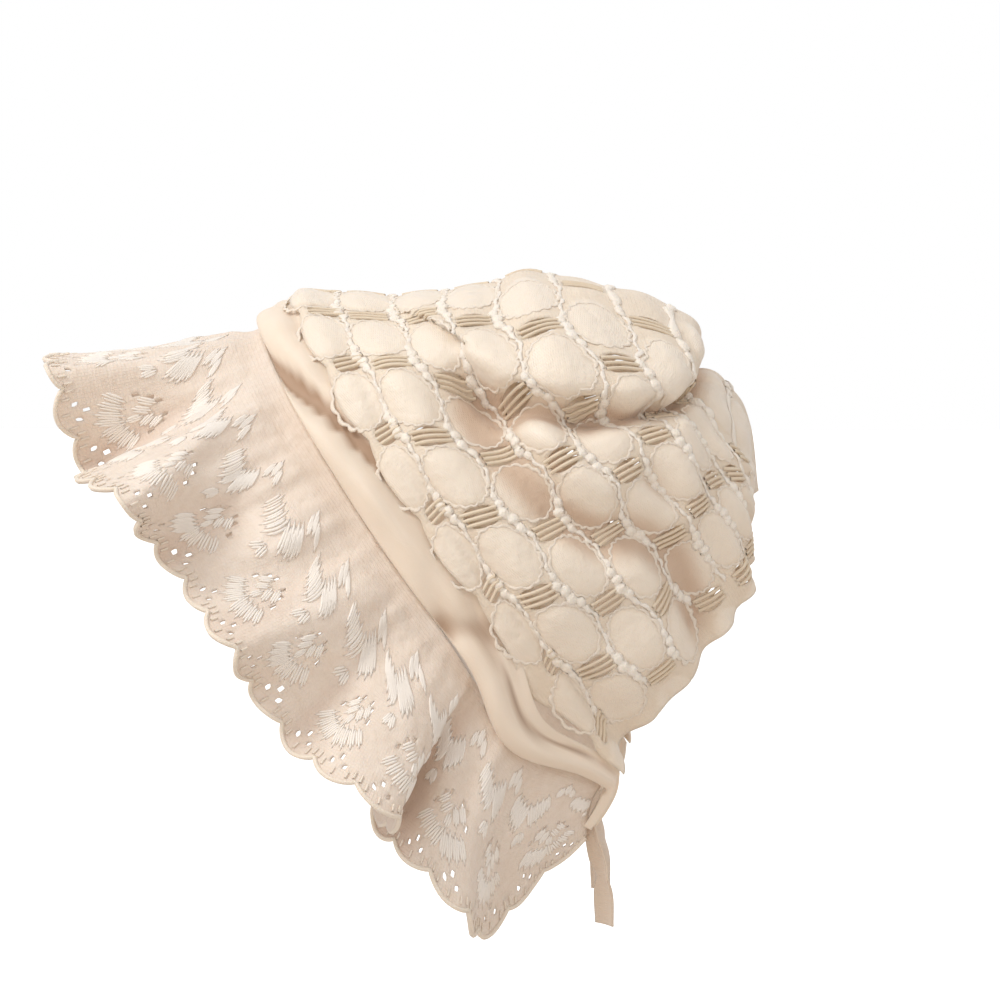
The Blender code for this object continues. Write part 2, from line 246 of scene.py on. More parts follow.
def layTube(bm, centres, normals, halfWidth, halfHeight, sides=6, closed=False):
    # a soft strand along a line: width across the cloth, height along its normal
    centres = np.asarray(centres, float)
    if closed:
        ahead, behind = np.roll(centres, -1, 0), np.roll(centres, 1, 0)
        tangents = unit(ahead - behind)
    else:
        tangents = unit(np.gradient(centres, axis=0))
    across = unit(np.cross(tangents, normals))
    up = np.cross(across, tangents)
    turns = np.linspace(0, 2 * math.pi, sides + 1)
    halfWidth = np.broadcast_to(halfWidth, len(centres))[:, None, None]
    halfHeight = np.broadcast_to(halfHeight, len(centres))[:, None, None]
    rings = (
        centres[:, None, :]
        + across[:, None, :] * np.cos(turns)[None, :, None] * halfWidth
        + up[:, None, :] * np.sin(turns)[None, :, None] * halfHeight
    )
    if closed:
        rings = np.concatenate([rings, rings[:1]])
    return layGrid(bm, rings)


def pieceFrom(name, bm, finish, mergeAt=0.00002, recalc=False):
    bmesh.ops.remove_doubles(bm, verts=bm.verts, dist=mergeAt)
    if recalc:
        bmesh.ops.recalc_face_normals(bm, faces=bm.faces)
    mesh = bpy.data.meshes.new(name)
    bm.to_mesh(mesh)
    bm.free()
    mesh.materials.append(finish)
    mesh.shade_smooth()
    made = bpy.data.objects.new(name, mesh)
    bpy.context.scene.collection.objects.link(made)
    return made


def thicken(piece, wall, offset=-1.0):
    solidify = piece.modifiers.new("wall", "SOLIDIFY")
    solidify.thickness = wall
    solidify.offset = offset


# Materials: shared effects are node groups, placed in each material with its own values.

def srgb(red, green, blue):
    def line(value):
        return value / 12.92 if value <= 0.04045 else ((value + 0.055) / 1.055) ** 2.4
    return (line(red), line(green), line(blue), 1.0)


def newGroup(name, inputs, outputs):
    group = bpy.data.node_groups.new(name, "ShaderNodeTree")
    for label, kind, value in inputs:
        socket = group.interface.new_socket(label, in_out="INPUT", socket_type=kind)
        socket.default_value = value
    for label, kind in outputs:
        group.interface.new_socket(label, in_out="OUTPUT", socket_type=kind)
    return group, group.nodes.new("NodeGroupInput"), group.nodes.new("NodeGroupOutput")


def mathNode(tree, operation, first, second=None, clamp=False):
    node = tree.nodes.new("ShaderNodeMath")
    node.operation = operation
    node.use_clamp = clamp
    for socket, value in zip(node.inputs, (first, second)):
        if value is None:
            continue
        if isinstance(value, (int, float)):
            socket.default_value = value
        else:
            tree.links.new(value, socket)
    return node.outputs[0]


def mixColour(tree, mask, first, second, mode="MIX"):
    node = tree.nodes.new("ShaderNodeMix")
    node.data_type = "RGBA"
    node.blend_type = mode
    node.clamp_factor = True
    for socket, value in ((node.inputs[0], mask), (node.inputs[6], first), (node.inputs[7], second)):
        if isinstance(value, (int, float, tuple)):
            socket.default_value = value
        else:
            tree.links.new(value, socket)
    return node.outputs[2]


def threadGroup():
    # woven or satin threads on the piece's own UV map, in metres
    tree, given, gives = newGroup(
        "threads",
        [
            ("Vector", "NodeSocketVector", (0, 0, 0)),
            ("Warp", "NodeSocketFloat", 3200.0),
            ("Weft", "NodeSocketFloat", 3200.0),
            ("Waver", "NodeSocketFloat", 1.0),
        ],
        [("Height", "NodeSocketFloat"), ("Shade", "NodeSocketFloat")],
    )
    noise = tree.nodes.new("ShaderNodeTexNoise")
    noise.inputs["Scale"].default_value = 260.0
    noise.inputs["Detail"].default_value = 3.0
    tree.links.new(given.outputs["Vector"], noise.inputs["Vector"])
    split = tree.nodes.new("ShaderNodeSeparateXYZ")
    tree.links.new(given.outputs["Vector"], split.inputs[0])
    push = mathNode(tree, "MULTIPLY", noise.outputs["Fac"], given.outputs["Waver"])
    waves = []
    for axis, count in (("X", "Warp"), ("Y", "Weft")):
        turns = mathNode(tree, "MULTIPLY", split.outputs[axis], given.outputs[count])
        waves.append(mathNode(tree, "SINE", mathNode(tree, "ADD", turns, push)))
    product = mathNode(tree, "MULTIPLY", waves[0], waves[1])
    height = mathNode(tree, "ADD", mathNode(tree, "MULTIPLY", product, 0.5), 0.5)
    tree.links.new(height, gives.inputs["Height"])
    tree.links.new(noise.outputs["Fac"], gives.inputs["Shade"])
    return tree


def toneGroup():
    # soft uneven colour of old cloth: two tones, mixed at random by noise
    tree, given, gives = newGroup(
        "clothTone",
        [
            ("Vector", "NodeSocketVector", (0, 0, 0)),
            ("Light", "NodeSocketColor", srgb(0.96, 0.92, 0.86)),
            ("Deep", "NodeSocketColor", srgb(0.90, 0.83, 0.74)),
            ("Scale", "NodeSocketFloat", 28.0),
            ("Amount", "NodeSocketFloat", 0.5),
        ],
        [("Color", "NodeSocketColor")],
    )
    noise = tree.nodes.new("ShaderNodeTexNoise")
    noise.inputs["Detail"].default_value = 5.0
    noise.inputs["Roughness"].default_value = 0.6
    tree.links.new(given.outputs["Vector"], noise.inputs["Vector"])
    tree.links.new(given.outputs["Scale"], noise.inputs["Scale"])
    spread = tree.nodes.new("ShaderNodeMapRange")
    spread.inputs["From Min"].default_value = 0.35
    spread.inputs["From Max"].default_value = 0.68
    tree.links.new(noise.outputs["Fac"], spread.inputs["Value"])
    mask = mathNode(tree, "MULTIPLY", spread.outputs[0], given.outputs["Amount"], clamp=True)
    colour = mixColour(tree, mask, given.outputs["Light"], given.outputs["Deep"])
    tree.links.new(colour, gives.inputs["Color"])
    return tree


def netGroup():
    # fine machine net: small six-sided meshes between thin threads
    tree, given, gives = newGroup(
        "net",
        [
            ("Vector", "NodeSocketVector", (0, 0, 0)),
            ("Scale", "NodeSocketFloat", 900.0),
            ("Thread", "NodeSocketFloat", 0.12),
        ],
        [("Height", "NodeSocketFloat"), ("Hole", "NodeSocketFloat")],
    )
    cells = tree.nodes.new("ShaderNodeTexVoronoi")
    cells.feature = "DISTANCE_TO_EDGE"
    cells.inputs["Randomness"].default_value = 0.25
    tree.links.new(given.outputs["Vector"], cells.inputs["Vector"])
    tree.links.new(given.outputs["Scale"], cells.inputs["Scale"])
    spread = tree.nodes.new("ShaderNodeMapRange")
    spread.inputs["From Min"].default_value = 0.0
    tree.links.new(cells.outputs["Distance"], spread.inputs["Value"])
    tree.links.new(given.outputs["Thread"], spread.inputs["From Max"])
    height = mathNode(tree, "SUBTRACT", 1.0, spread.outputs[0])
    tree.links.new(height, gives.inputs["Height"])
    tree.links.new(spread.outputs[0], gives.inputs["Hole"])
    return tree


groups = {"threads": threadGroup(), "tone": toneGroup(), "net": netGroup()}


def placeGroup(tree, key, **values):
    node = tree.nodes.new("ShaderNodeGroup")
    node.node_tree = groups[key]
    for label, value in values.items():
        socket = node.inputs[label]
        if isinstance(value, (int, float, tuple)):
            socket.default_value = value
        else:
            tree.links.new(value, socket)
    return node


# The tones of each finish, with a darker painted shade tone for the valleys between folds; net and weave
# are in turns for a metre, bump in metres.
clothFinish = {
    "crown": {
        "light": srgb(0.935, 0.875, 0.80),
        "deep": srgb(0.91, 0.84, 0.76),
        "satin": srgb(0.945, 0.89, 0.825),
        "paintedShade": srgb(0.82, 0.72, 0.63),
        "roughness": 0.62,
        "net": 1100.0,
        "mottle": 0.0,
    },
    "ruffle": {
        "light": srgb(0.93, 0.87, 0.815),
        "deep": srgb(0.90, 0.83, 0.765),
        "satin": srgb(0.95, 0.895, 0.845),
        "paintedShade": srgb(0.83, 0.73, 0.66),
        "roughness": 0.66,
        "net": 950.0,
        "mottle": 0.5,
    },
    "band": {
        "light": srgb(0.94, 0.88, 0.81),
        "deep": srgb(0.92, 0.85, 0.77),
        "paintedShade": srgb(0.70, 0.58, 0.48),
        "roughness": 0.6,
        "weave": (14000.0, 14000.0),
        "bump": 0.00005,
    },
    "ribbon": {
        "light": srgb(0.87, 0.80, 0.73),
        "deep": srgb(0.81, 0.73, 0.65),
        "roughness": 0.45,
        "weave": (900.0, 9000.0),
        "bump": 0.00008,
    },
    "cord": {
        "light": srgb(0.95, 0.895, 0.83),
        "deep": srgb(0.93, 0.87, 0.80),
        "roughness": 0.55,
        "bump": 0.0006,
    },
    "chain": {
        "light": srgb(0.985, 0.945, 0.895),
        "deep": srgb(0.95, 0.90, 0.84),
        "roughness": 0.5,
        "bump": 0.0007,
    },
    "bar": {
        "light": srgb(0.90, 0.835, 0.745),
        "deep": srgb(0.86, 0.785, 0.69),
        "roughness": 0.5,
        "bump": 0.0003,
    },
    "leaf": {
        "light": srgb(0.985, 0.95, 0.91),
        "deep": srgb(0.955, 0.91, 0.86),
        "roughness": 0.42,
        "bump": 0.0001,
    },
}
satinRoughness = 0.42


def startMaterial(name, roughness, sheen):
    made = bpy.data.materials.new(name)
    made.use_nodes = True
    tree = made.node_tree
    shader = tree.nodes["Principled BSDF"]
    shader.inputs["Roughness"].default_value = roughness
    shader.inputs["Metallic"].default_value = 0.0
    shader.inputs["Sheen Weight"].default_value = sheen
    shader.inputs["Sheen Roughness"].default_value = 0.45
    shader.inputs["Subsurface Weight"].default_value = 0.12
    shader.inputs["Subsurface Radius"].default_value = (1.0, 0.72, 0.5)
    shader.inputs["Subsurface Scale"].default_value = 0.002
    return made, tree, shader


def bumpInto(tree, shader, height, distance, strength, under=None):
    bump = tree.nodes.new("ShaderNodeBump")
    bump.inputs["Distance"].default_value = distance
    bump.inputs["Strength"].default_value = strength
    tree.links.new(height, bump.inputs["Height"])
    if under is not None:
        tree.links.new(under, bump.inputs["Normal"])
    tree.links.new(bump.outputs["Normal"], shader.inputs["Normal"])
    return bump.outputs["Normal"]


def uvSocket(tree):
    return tree.nodes.new("ShaderNodeUVMap").outputs["UV"]


def objectSocket(tree):
    return tree.nodes.new("ShaderNodeTexCoord").outputs["Object"]


def attributeSocket(tree, name):
    node = tree.nodes.new("ShaderNodeAttribute")
    node.attribute_name = name
    return node.outputs["Fac"]


def clothTone(tree, vector, light, deep, scale, amount):
    node = placeGroup(tree, "tone", Vector=vector, Light=light, Deep=deep, Scale=scale, Amount=amount)
    return node.outputs["Color"]


def laceMaterial(name, finish):
    # satin marks the solid parts of the lace; painted shade darkens it by how deep a place lies between
    # folds
    made, tree, shader = startMaterial(name, finish["roughness"], 0.25)
    uv, place = uvSocket(tree), objectSocket(tree)
    satin = attributeSocket(tree, "satin")
    tone = clothTone(tree, place, finish["light"], finish["deep"], 34.0, 0.8)
    net = placeGroup(tree, "net", Vector=uv, Scale=finish["net"], Thread=0.16)
    threads = placeGroup(tree, "threads", Vector=uv, Warp=2600.0, Weft=11500.0, Waver=3.0)
    holes = mathNode(tree, "MULTIPLY", net.outputs["Hole"], 0.12)
    ground = mixColour(tree, holes, tone, finish["deep"])
    sprigs = clothTone(tree, uv, finish["satin"], finish["deep"], 330.0, 1.0)
    mottled = mixColour(tree, finish["mottle"], ground, sprigs)
    colour = mixColour(tree, satin, mottled, finish["satin"])
    # painted shade: the darker tone is mixed in where the cloth sinks between folds
    colour = mixColour(tree, attributeSocket(tree, "paintedShade"), colour, finish["paintedShade"])
    tree.links.new(colour, shader.inputs["Base Color"])
    rough = tree.nodes.new("ShaderNodeMapRange")
    rough.inputs["To Min"].default_value = finish["roughness"]
    rough.inputs["To Max"].default_value = satinRoughness
    tree.links.new(satin, rough.inputs["Value"])
    tree.links.new(rough.outputs[0], shader.inputs["Roughness"])
    height = tree.nodes.new("ShaderNodeMix")
    tree.links.new(satin, height.inputs[0])
    tree.links.new(net.outputs["Height"], height.inputs[2])
    tree.links.new(threads.outputs["Height"], height.inputs[3])
    crumple = tree.nodes.new("ShaderNodeTexNoise")
    crumple.inputs["Scale"].default_value = 210.0
    crumple.inputs["Detail"].default_value = 4.0
    tree.links.new(place, crumple.inputs["Vector"])
    soft = bumpInto(tree, shader, crumple.outputs["Fac"], 0.0016, 0.6)
    bumpInto(tree, shader, height.outputs[0], 0.00018, 0.5, soft)
    return made


def plainMaterial(name, finish):
    made, tree, shader = startMaterial(name, finish["roughness"], 0.3)
    uv, place = uvSocket(tree), objectSocket(tree)
    warp, weft = finish["weave"]
    tone = clothTone(tree, place, finish["light"], finish["deep"], 40.0, 0.7)
    threads = placeGroup(tree, "threads", Vector=uv, Warp=warp, Weft=weft, Waver=1.5)
    wear = mathNode(tree, "MULTIPLY", threads.outputs["Shade"], 0.25)
    colour = mixColour(tree, wear, tone, finish["deep"])
    # painted shade: the darker tone is mixed into the band's creases
    if "paintedShade" in finish:
        colour = mixColour(tree, attributeSocket(tree, "paintedShade"), colour, finish["paintedShade"])
    tree.links.new(colour, shader.inputs["Base Color"])
    bumpInto(tree, shader, threads.outputs["Height"], finish["bump"], 0.7)
    return made


def cordMaterial(name, finish):
    made, tree, shader = startMaterial(name, finish["roughness"], 0.2)
    place = objectSocket(tree)
    tone = clothTone(tree, place, finish["light"], finish["deep"], 120.0, 0.6)
    tree.links.new(tone, shader.inputs["Base Color"])
    twist = tree.nodes.new("ShaderNodeTexNoise")
    twist.inputs["Scale"].default_value = 1900.0
    tree.links.new(place, twist.inputs["Vector"])
    bumpInto(tree, shader, twist.outputs["Fac"], finish["bump"], 0.6)
    return made


materials = {
    "crown": laceMaterial("crownLace", clothFinish["crown"]),
    "ruffle": laceMaterial("ruffleLace", clothFinish["ruffle"]),
    "band": plainMaterial("bandCloth", clothFinish["band"]),
    "cord": cordMaterial("laceCord", clothFinish["cord"]),
    "chain": cordMaterial("laceChain", clothFinish["chain"]),
    "bar": cordMaterial("laceBar", clothFinish["bar"]),
    "leaf": cordMaterial("laceLeaf", clothFinish["leaf"]),
    "ribbon": plainMaterial("ribbonSatin", clothFinish["ribbon"]),
}
print("materials ready")

# Crown: a lace of satin ovals with looped cord outlines and barred openings,
# drawn up in deep soft folds.

crown = {
    "columns": 320,
    "rows": 150,
    "wall": 0.0007,
    "depthLength": 0.155,  # from the band to the nape along the cloth
    "edgeFrom": -0.020,  # how far the scalloped edge reaches over the band, as a share
    "notchAt": -0.006,
    "scallopRound": 0.75,
    "edgeLift": 0.0020,
    "bulgeArc": 0.80,  # where the crown hangs further over the band
    "bulgeWide": 0.05,
    "bulgeOver": 0.035,
    "footFrom": 0.66,  # the arc where the ripples towards a foot begin, and how far they grow
    "footSpan": 0.34,
    "footRipples": 9,
    "footRipple": 0.0014,
    "edgeSpan": 0.08,
    "edgeRipples": 15,
    "edgeRipple": 0.0008,
    "crumple": 0.0006,
    # painted shade in the folds' valleys: where it begins and is full, and how strong it is
    "paintedShadeFrom": 0.0006,  # depths between folds where the deeper tone begins and is full
    "paintedShadeFull": 0.0056,
    "paintedShadeTone": 0.95,
    "firstColumn": 0.015,
    "firstOpening": 0.036,
    "columnStep": 0.0925,
    "repeat": 0.026,  # along the arch
    "latticeEnd": 0.90,
    "openEnd": 0.78,
    "clearOfFoot": 0.005,
    "ovalAcross": 0.0068,
    "ovalAlong": 0.0088,
    "ovalSquare": 2.2,  # 2 for an ellipse, more for fuller corners
    "ovalRise": 0.0006,
    "ovalRound": 0.6,  # 1 for a pointed dome, less for a flatter one
    "satinFrom": 0.02,
    "satinFull": 0.25,
    "columnRise": 0.0004,
    "openAcross": 0.0045,
    "openAlong": 0.0032,
    "openSquare": 2.6,
    "openNear": (0.80, 1.20),  # sizes between which the grid is drawn onto an opening's edge
    "openCut": 0.98,
    "cordHalf": 0.00034,
    "cordLeast": 0.00015,
    "cordScallop": 0.0009,
    "cordScallops": 8,
    "cordPoints": 72,
    "cordSpread": 1.4,
    "cordFlat": 0.42,
    "chainHalf": 0.0019,
    "chainKnobs": 9,  # knobs of the cord between columns, over one repeat
    "chainSwing": 0.0015,
    "chainLoops": 0.0007,
    "chainEnd": 0.93,
    "chainPoints": 620,
    "chainFlat": 0.38,
    "barHalf": 0.00056,
    "barStep": 0.0017,
    "barOver": 1.06,  # a bar's length, as a share of its opening
    "barSlant": 0.0003,
}

# Each fold runs through a few places given as (arc, at). Heights are in metres; below is
# the reach on its lower side, and slump carries its crest over to that side.
crownFolds = [
    {"line": [(0.285, 0.275), (0.33, 0.305), (0.38, 0.355), (0.42, 0.40), (0.445, 0.48), (0.44, 0.56),
              (0.36, 0.635), (0.20, 0.67), (0.0, 0.68), (-0.22, 0.66), (-0.38, 0.60), (-0.46, 0.50),
              (-0.42, 0.38), (-0.32, 0.30)],
     "reach": 0.13, "below": 0.038, "height": 0.0046, "slump": 0.0048},
    {"line": [(0.20, 0.23), (0.0, 0.27), (-0.20, 0.25)], "reach": 0.09, "height": 0.0016},
    {"line": [(0.335, 0.225), (0.385, 0.262), (0.44, 0.315), (0.485, 0.38), (0.505, 0.47), (0.50, 0.565),
              (0.42, 0.665), (0.25, 0.715), (0.0, 0.725), (-0.30, 0.70)],
     "reach": 0.036, "height": -0.0074},
    {"line": [(0.36, 0.235), (0.40, 0.25)], "reach": 0.030, "height": -0.0030},
    {"line": [(0.46, 0.375), (0.50, 0.39)], "reach": 0.030, "height": -0.0030},
    {"line": [(0.40, 0.205), (0.50, 0.21), (0.61, 0.225), (0.68, 0.27), (0.74, 0.335), (0.83, 0.37),
              (0.94, 0.35)],
     "reach": 0.050, "height": -0.0062},
    {"line": [(0.47, 0.285), (0.55, 0.29), (0.62, 0.32)], "reach": 0.036, "height": 0.0034},
    {"line": [(0.30, 0.10), (0.45, 0.08), (0.60, 0.10), (0.74, 0.11)], "reach": 0.055, "height": 0.0030},
    {"line": [(0.80, 0.05), (0.87, 0.12), (0.90, 0.20)], "reach": 0.070, "height": 0.0048},
    {"line": [(0.72, 0.74), (0.84, 0.64), (0.94, 0.52)], "reach": 0.110, "height": 0.0055},
    {"line": [(0.57, 0.55), (0.66, 0.52), (0.75, 0.46)], "reach": 0.048, "height": 0.0036},
    {"line": [(0.66, 0.42), (0.78, 0.47), (0.90, 0.46)], "reach": 0.030, "height": -0.0030},
    {"line": [(0.97, 0.12), (0.98, 0.19)], "reach": 0.045, "height": -0.0016},
    {"line": [(-0.40, 0.24), (-0.56, 0.21), (-0.72, 0.30), (-0.90, 0.36)],
     "reach": 0.050, "height": -0.0048},
    {"line": [(-0.50, 0.40), (-0.54, 0.50), (-0.46, 0.62)], "reach": 0.036, "height": -0.0056},
    {"line": [(-0.34, 0.09), (-0.56, 0.09), (-0.74, 0.12)], "reach": 0.055, "height": 0.0030},
    {"line": [(-0.80, 0.06), (-0.90, 0.16)], "reach": 0.070, "height": 0.0042},
    {"line": [(-0.72, 0.72), (-0.92, 0.54)], "reach": 0.110, "height": 0.0045},
    {"line": [(-0.58, 0.54), (-0.76, 0.46)], "reach": 0.048, "height": 0.0034},
]

# Where the lace's rows begin, from the top of the arch, at a few places to the back.
laceDrift = [(0.0, -0.0050), (0.10, -0.0025), (0.20, 0.0030), (0.29, 0.0110), (0.38, 0.0200),
             (0.47, 0.0280), (0.57, 0.0350), (0.80, 0.0470)]


def crownSurface():
    arcs = np.linspace(-1, 1, 801)
    at = np.concatenate([np.linspace(-0.10, 0, 41)[:-1], np.linspace(0, 1, 401)])
    line, outward = brimLine(arcs, 0.0)
    start = archOutline(0.0, arcs)
    rows = []
    for share in at:
        if share < 0:
            row = start + np.array([0.0, share * crown["depthLength"], 0.0])
        else:
            row = archOutline(share, arcs)
        rows.append(row)
    points = np.stack(rows)
    lift = crown["edgeLift"] * (1 - smooth(at, 0.0, 0.05))
    points = points + outward[None] * lift[:, None, None]
    first = surfaceFrom(points, at, arcs)
    a, b = arcs[None, :], at[:, None]
    height, slideArc, slideAt = foldField(crownFolds, a, b)
    foot = np.clip((np.abs(a) - crown["footFrom"]) / crown["footSpan"], 0, 1)
    nearEdge = np.exp(-((b / crown["edgeSpan"]) ** 2))
    height = height + np.sin(2 * math.pi * crown["footRipples"] * b) * foot**2 * crown["footRipple"]
    height = height + np.sin(math.pi * crown["edgeRipples"] * a) * nearEdge * crown["edgeRipple"]
    height = height + crown["crumple"] * np.sin(23 * a + 9 * b) * np.sin(17 * b - 5 * a)
    fade = smooth(b, -0.01, 0.09) * smooth(1 - b, 0.0, 0.30)
    points = points + first["normals"] * (height * fade)[..., None]
    points = points + first["byColumn"] * (slideArc * fade)[..., None]
    points = points + first["byRow"] * (slideAt * fade)[..., None]
    made = surfaceFrom(points, at, arcs)
    # painted shade: darker where the folds sink the cloth
    made["paintedShade"] = (smooth(-height, crown["paintedShadeFrom"], crown["paintedShadeFull"]) * fade)[..., None]
    return made


crownCloth = crownSurface()
crownKeys = crownCloth["rowKeys"]
crownHalf = np.linalg.norm(np.diff(crownCloth["points"], axis=1), axis=2).sum(1) / 2


def halfLength(at):
    return np.interp(at, crownKeys, crownHalf)


def laceRow(arc, at):
    # whole at each opening, half way between them at each oval
    along = arc * halfLength(at)
    drift = np.interp(at, [key for key, value in laceDrift], [value for key, value in laceDrift])
    return (along - drift * np.tanh(along / 0.025)) / crown["repeat"]


def arcOfRow(row, at):
    # the arc where a row of the lace crosses one place to the back
    arcs = np.linspace(-1, 1, 1201)
    return float(np.interp(row, laceRow(arcs, at), arcs, left=-9, right=9))


def laceColumn(at):
    return (at - crown["firstColumn"]) / crown["columnStep"]


def laceSpots(half):
    # places (arc, at) of the openings, or of the ovals half a row further on
    spots = []
    count = math.ceil((crown["latticeEnd"] - crown["firstColumn"]) / crown["columnStep"])
    for column in range(count):
        at = crown["firstColumn"] + column * crown["columnStep"]
        length = halfLength(at)
        for row in range(-9, 10):
            arc = arcOfRow(row + half, at)
            if abs(arc) * length < length - crown["clearOfFoot"]:
                spots.append((arc, at))
    return spots


def edgeAt(arc):
    # the lace's front edge: full scallops over the ovals, notches at the openings
    row = laceRow(arc, 0.0)
    wave = np.abs(np.sin(math.pi * row)) ** crown["scallopRound"]
    inset = smooth(1 - np.abs(arc), 0.0, 0.06)
    over = crown["bulgeOver"] * np.exp(-(((arc - crown["bulgeArc"]) / crown["bulgeWide"]) ** 2))
    return crown["notchAt"] * inset + (crown["edgeFrom"] - crown["notchAt"]) * wave * inset - over


def reliefAt(arc, at):
    # ovals stand out as low domes; the second number is the satin mask
    column = np.clip(np.round(laceColumn(at)), 0, None)
    rise = np.zeros(np.broadcast(arc, at).shape)
    mask = np.zeros(rise.shape)
    for step in (-1, 0, 1):
        middle = crown["firstColumn"] + (column + step) * crown["columnStep"]
        row = laceRow(arc, middle)
        across = (at - middle) * crown["depthLength"] / crown["ovalAcross"]
        along = (row - np.floor(row) - 0.5) * crown["repeat"] / crown["ovalAlong"]
        square = crown["ovalSquare"]
        inside = np.clip(1 - np.abs(across) ** square - np.abs(along) ** square, 0, 1)
        keep = (middle > 0) & (middle < crown["latticeEnd"])
        rise = np.maximum(rise, inside ** crown["ovalRound"] * crown["ovalRise"] * keep)
        mask = np.maximum(mask, smooth(inside, crown["satinFrom"], crown["satinFull"]) * keep)
    wave = np.cos(2 * math.pi * laceColumn(at)) * smooth(crown["latticeEnd"] - at, 0.0, 0.1)
    return rise + crown["columnRise"] * wave, mask


openings = [(arc, max(at, crown["firstOpening"])) for arc, at in laceSpots(0.0) if at < crown["openEnd"]]
ovals = laceSpots(0.5)
print("openings", len(openings), "ovals", len(ovals))


def openSize(arc, at, spot):
    # 1 on the rim of an opening and less inside it
    across = (at - spot[1]) * crown["depthLength"] / crown["openAcross"]
    along = (arc - spot[0]) * halfLength(spot[1]) / crown["openAlong"]
    square = crown["openSquare"]
    return (np.abs(across) ** square + np.abs(along) ** square) ** (1 / square)


def makeCrownCloth():
    arcs = np.linspace(-1, 1, crown["columns"] + 1)
    shares = np.linspace(0, 1, crown["rows"] + 1)
    arc = np.repeat(arcs[None, :], len(shares), axis=0)
    edge = edgeAt(arc)
    at = edge + (1 - edge) * shares[:, None]
    for spot in openings:  # the grid's points near an opening's edge are drawn onto it
        size = openSize(arc, at, spot)
        near = (size > crown["openNear"][0]) & (size < crown["openNear"][1])
        arc = np.where(near, spot[0] + (arc - spot[0]) / size, arc)
        at = np.where(near, spot[1] + (at - spot[1]) / size, at)
    rise, mask = reliefAt(arc, at)
    points = toRow(liftedFrom(crownCloth, at, arc, rise))
    uv = np.stack([arc * bonnet["archHalf"], at * crown["depthLength"]], -1)
    # painted shade from the folds, read at the lace's points
    paintedShade = readSurface(crownCloth, "paintedShade", at, arc)[..., 0] * crown["paintedShadeTone"]
    bm = bmesh.new()
    made = layGrid(bm, points, uv, {"satin": mask, "paintedShade": paintedShade})
    place = {vertex: i for i, vertex in enumerate(made)}
    flatArc, flatAt = arc.reshape(-1), at.reshape(-1)
    faceArc, faceAt, faces = [], [], list(bm.faces)
    for face in faces:
        ids = [place[vertex] for vertex in face.verts]
        faceArc.append(flatArc[ids].mean())
        faceAt.append(flatAt[ids].mean())
    faceArc, faceAt = np.array(faceArc), np.array(faceAt)
    cut = np.zeros(len(faces), bool)
    for spot in openings:
        cut |= openSize(faceArc, faceAt, spot) ** crown["openSquare"] < crown["openCut"]
    gone = [face for face, drop in zip(faces, cut) if drop]
    bmesh.ops.delete(bm, geom=gone, context="FACES")
    piece = pieceFrom("crown_lace", bm, materials["crown"])
    thicken(piece, crown["wall"])
    return piece


def crownStrand(bm, at, arc, lift, wide, closed, flatness):
    # one cord along places on the crown's cloth, seated on its relief
    centres = toRow(liftedFrom(crownCloth, at, arc, reliefAt(arc, at)[0] + lift))
    normals = readSurface(crownCloth, "normals", at, arc) @ brimToRow[:3, :3].T
    layTube(bm, centres, normals, wide, wide * flatness, 6, closed=closed)


def makeCrownCords():
    bm = bmesh.new()
    turns = np.linspace(0, 2 * math.pi, crown["cordPoints"] + 1)[:-1]
    for index, (arc, at) in enumerate(ovals):
        warped = turns + 0.16 * np.sin(turns * 2 + index * 1.7)
        knobs = np.abs(np.sin(warped * crown["cordScallops"] + index)) ** 0.8
        uneven = 0.85 + 0.20 * np.sin(turns * 3 + index * 2.1) + 0.15 * np.sin(turns * 5 + index)
        strong = (0.25 + 0.75 * np.abs(np.cos(turns)) ** 0.9) * uneven
        across = (crown["ovalAcross"] + crown["cordScallop"] * knobs) * np.cos(turns)
        along = (crown["ovalAlong"] + crown["cordScallop"] * knobs) * np.sin(turns)
        cordAt = at + across / crown["depthLength"]
        cordArc = np.clip(arc + along / halfLength(at), -0.998, 0.998)
        wide = crown["cordHalf"] * (0.35 + 0.85 * knobs) * strong + crown["cordLeast"]
        wide = wide * crown["cordSpread"]
        crownStrand(bm, cordAt, cordArc, 0.0001 * knobs * strong, wide, True, crown["cordFlat"])
    return pieceFrom("crown_cords", bm, materials["cord"], recalc=True)


def makeCrownChains():
    # a knobbly cord between each two columns, swinging round the ovals on both sides
    bm = bmesh.new()
    arcs = np.linspace(-crown["chainEnd"], crown["chainEnd"], crown["chainPoints"])
    step = crown["columnStep"]
    count = int((crown["latticeEnd"] - crown["firstColumn"]) / step)
    for column in range(count):
        edge = crown["firstColumn"] + (column + 0.5) * step
        row = laceRow(arcs, edge)
        before = np.abs(np.sin(math.pi * laceRow(arcs, edge - step / 2)))
        after = np.abs(np.sin(math.pi * laceRow(arcs, edge + step / 2)))
        turns = row * crown["chainKnobs"]
        knobs = np.abs(np.sin(math.pi * turns + 0.7 * np.sin(row * 5 + column))) ** 0.7
        bent = (before**1.5 - after**1.5) * crown["chainSwing"]
        thick = 0.55 + 0.45 * np.cos(2 * math.pi * row + 0.8) * np.sign(arcs + 1e-9)
        wide = crown["chainHalf"] * (0.42 + 0.62 * knobs) * np.clip(thick, 0.35, 1.0)
        wide[0] = wide[-1] = 0.0001
        side = crown["chainLoops"] * (knobs - 0.5) * np.where(np.floor(turns) % 2 > 0, 1, -1)
        cordAt = edge + (bent + side) / crown["depthLength"]
        crownStrand(bm, cordAt, arcs, 0.0002 * knobs, wide, False, crown["chainFlat"])
    return pieceFrom("crown_chains", bm, materials["chain"], recalc=True)


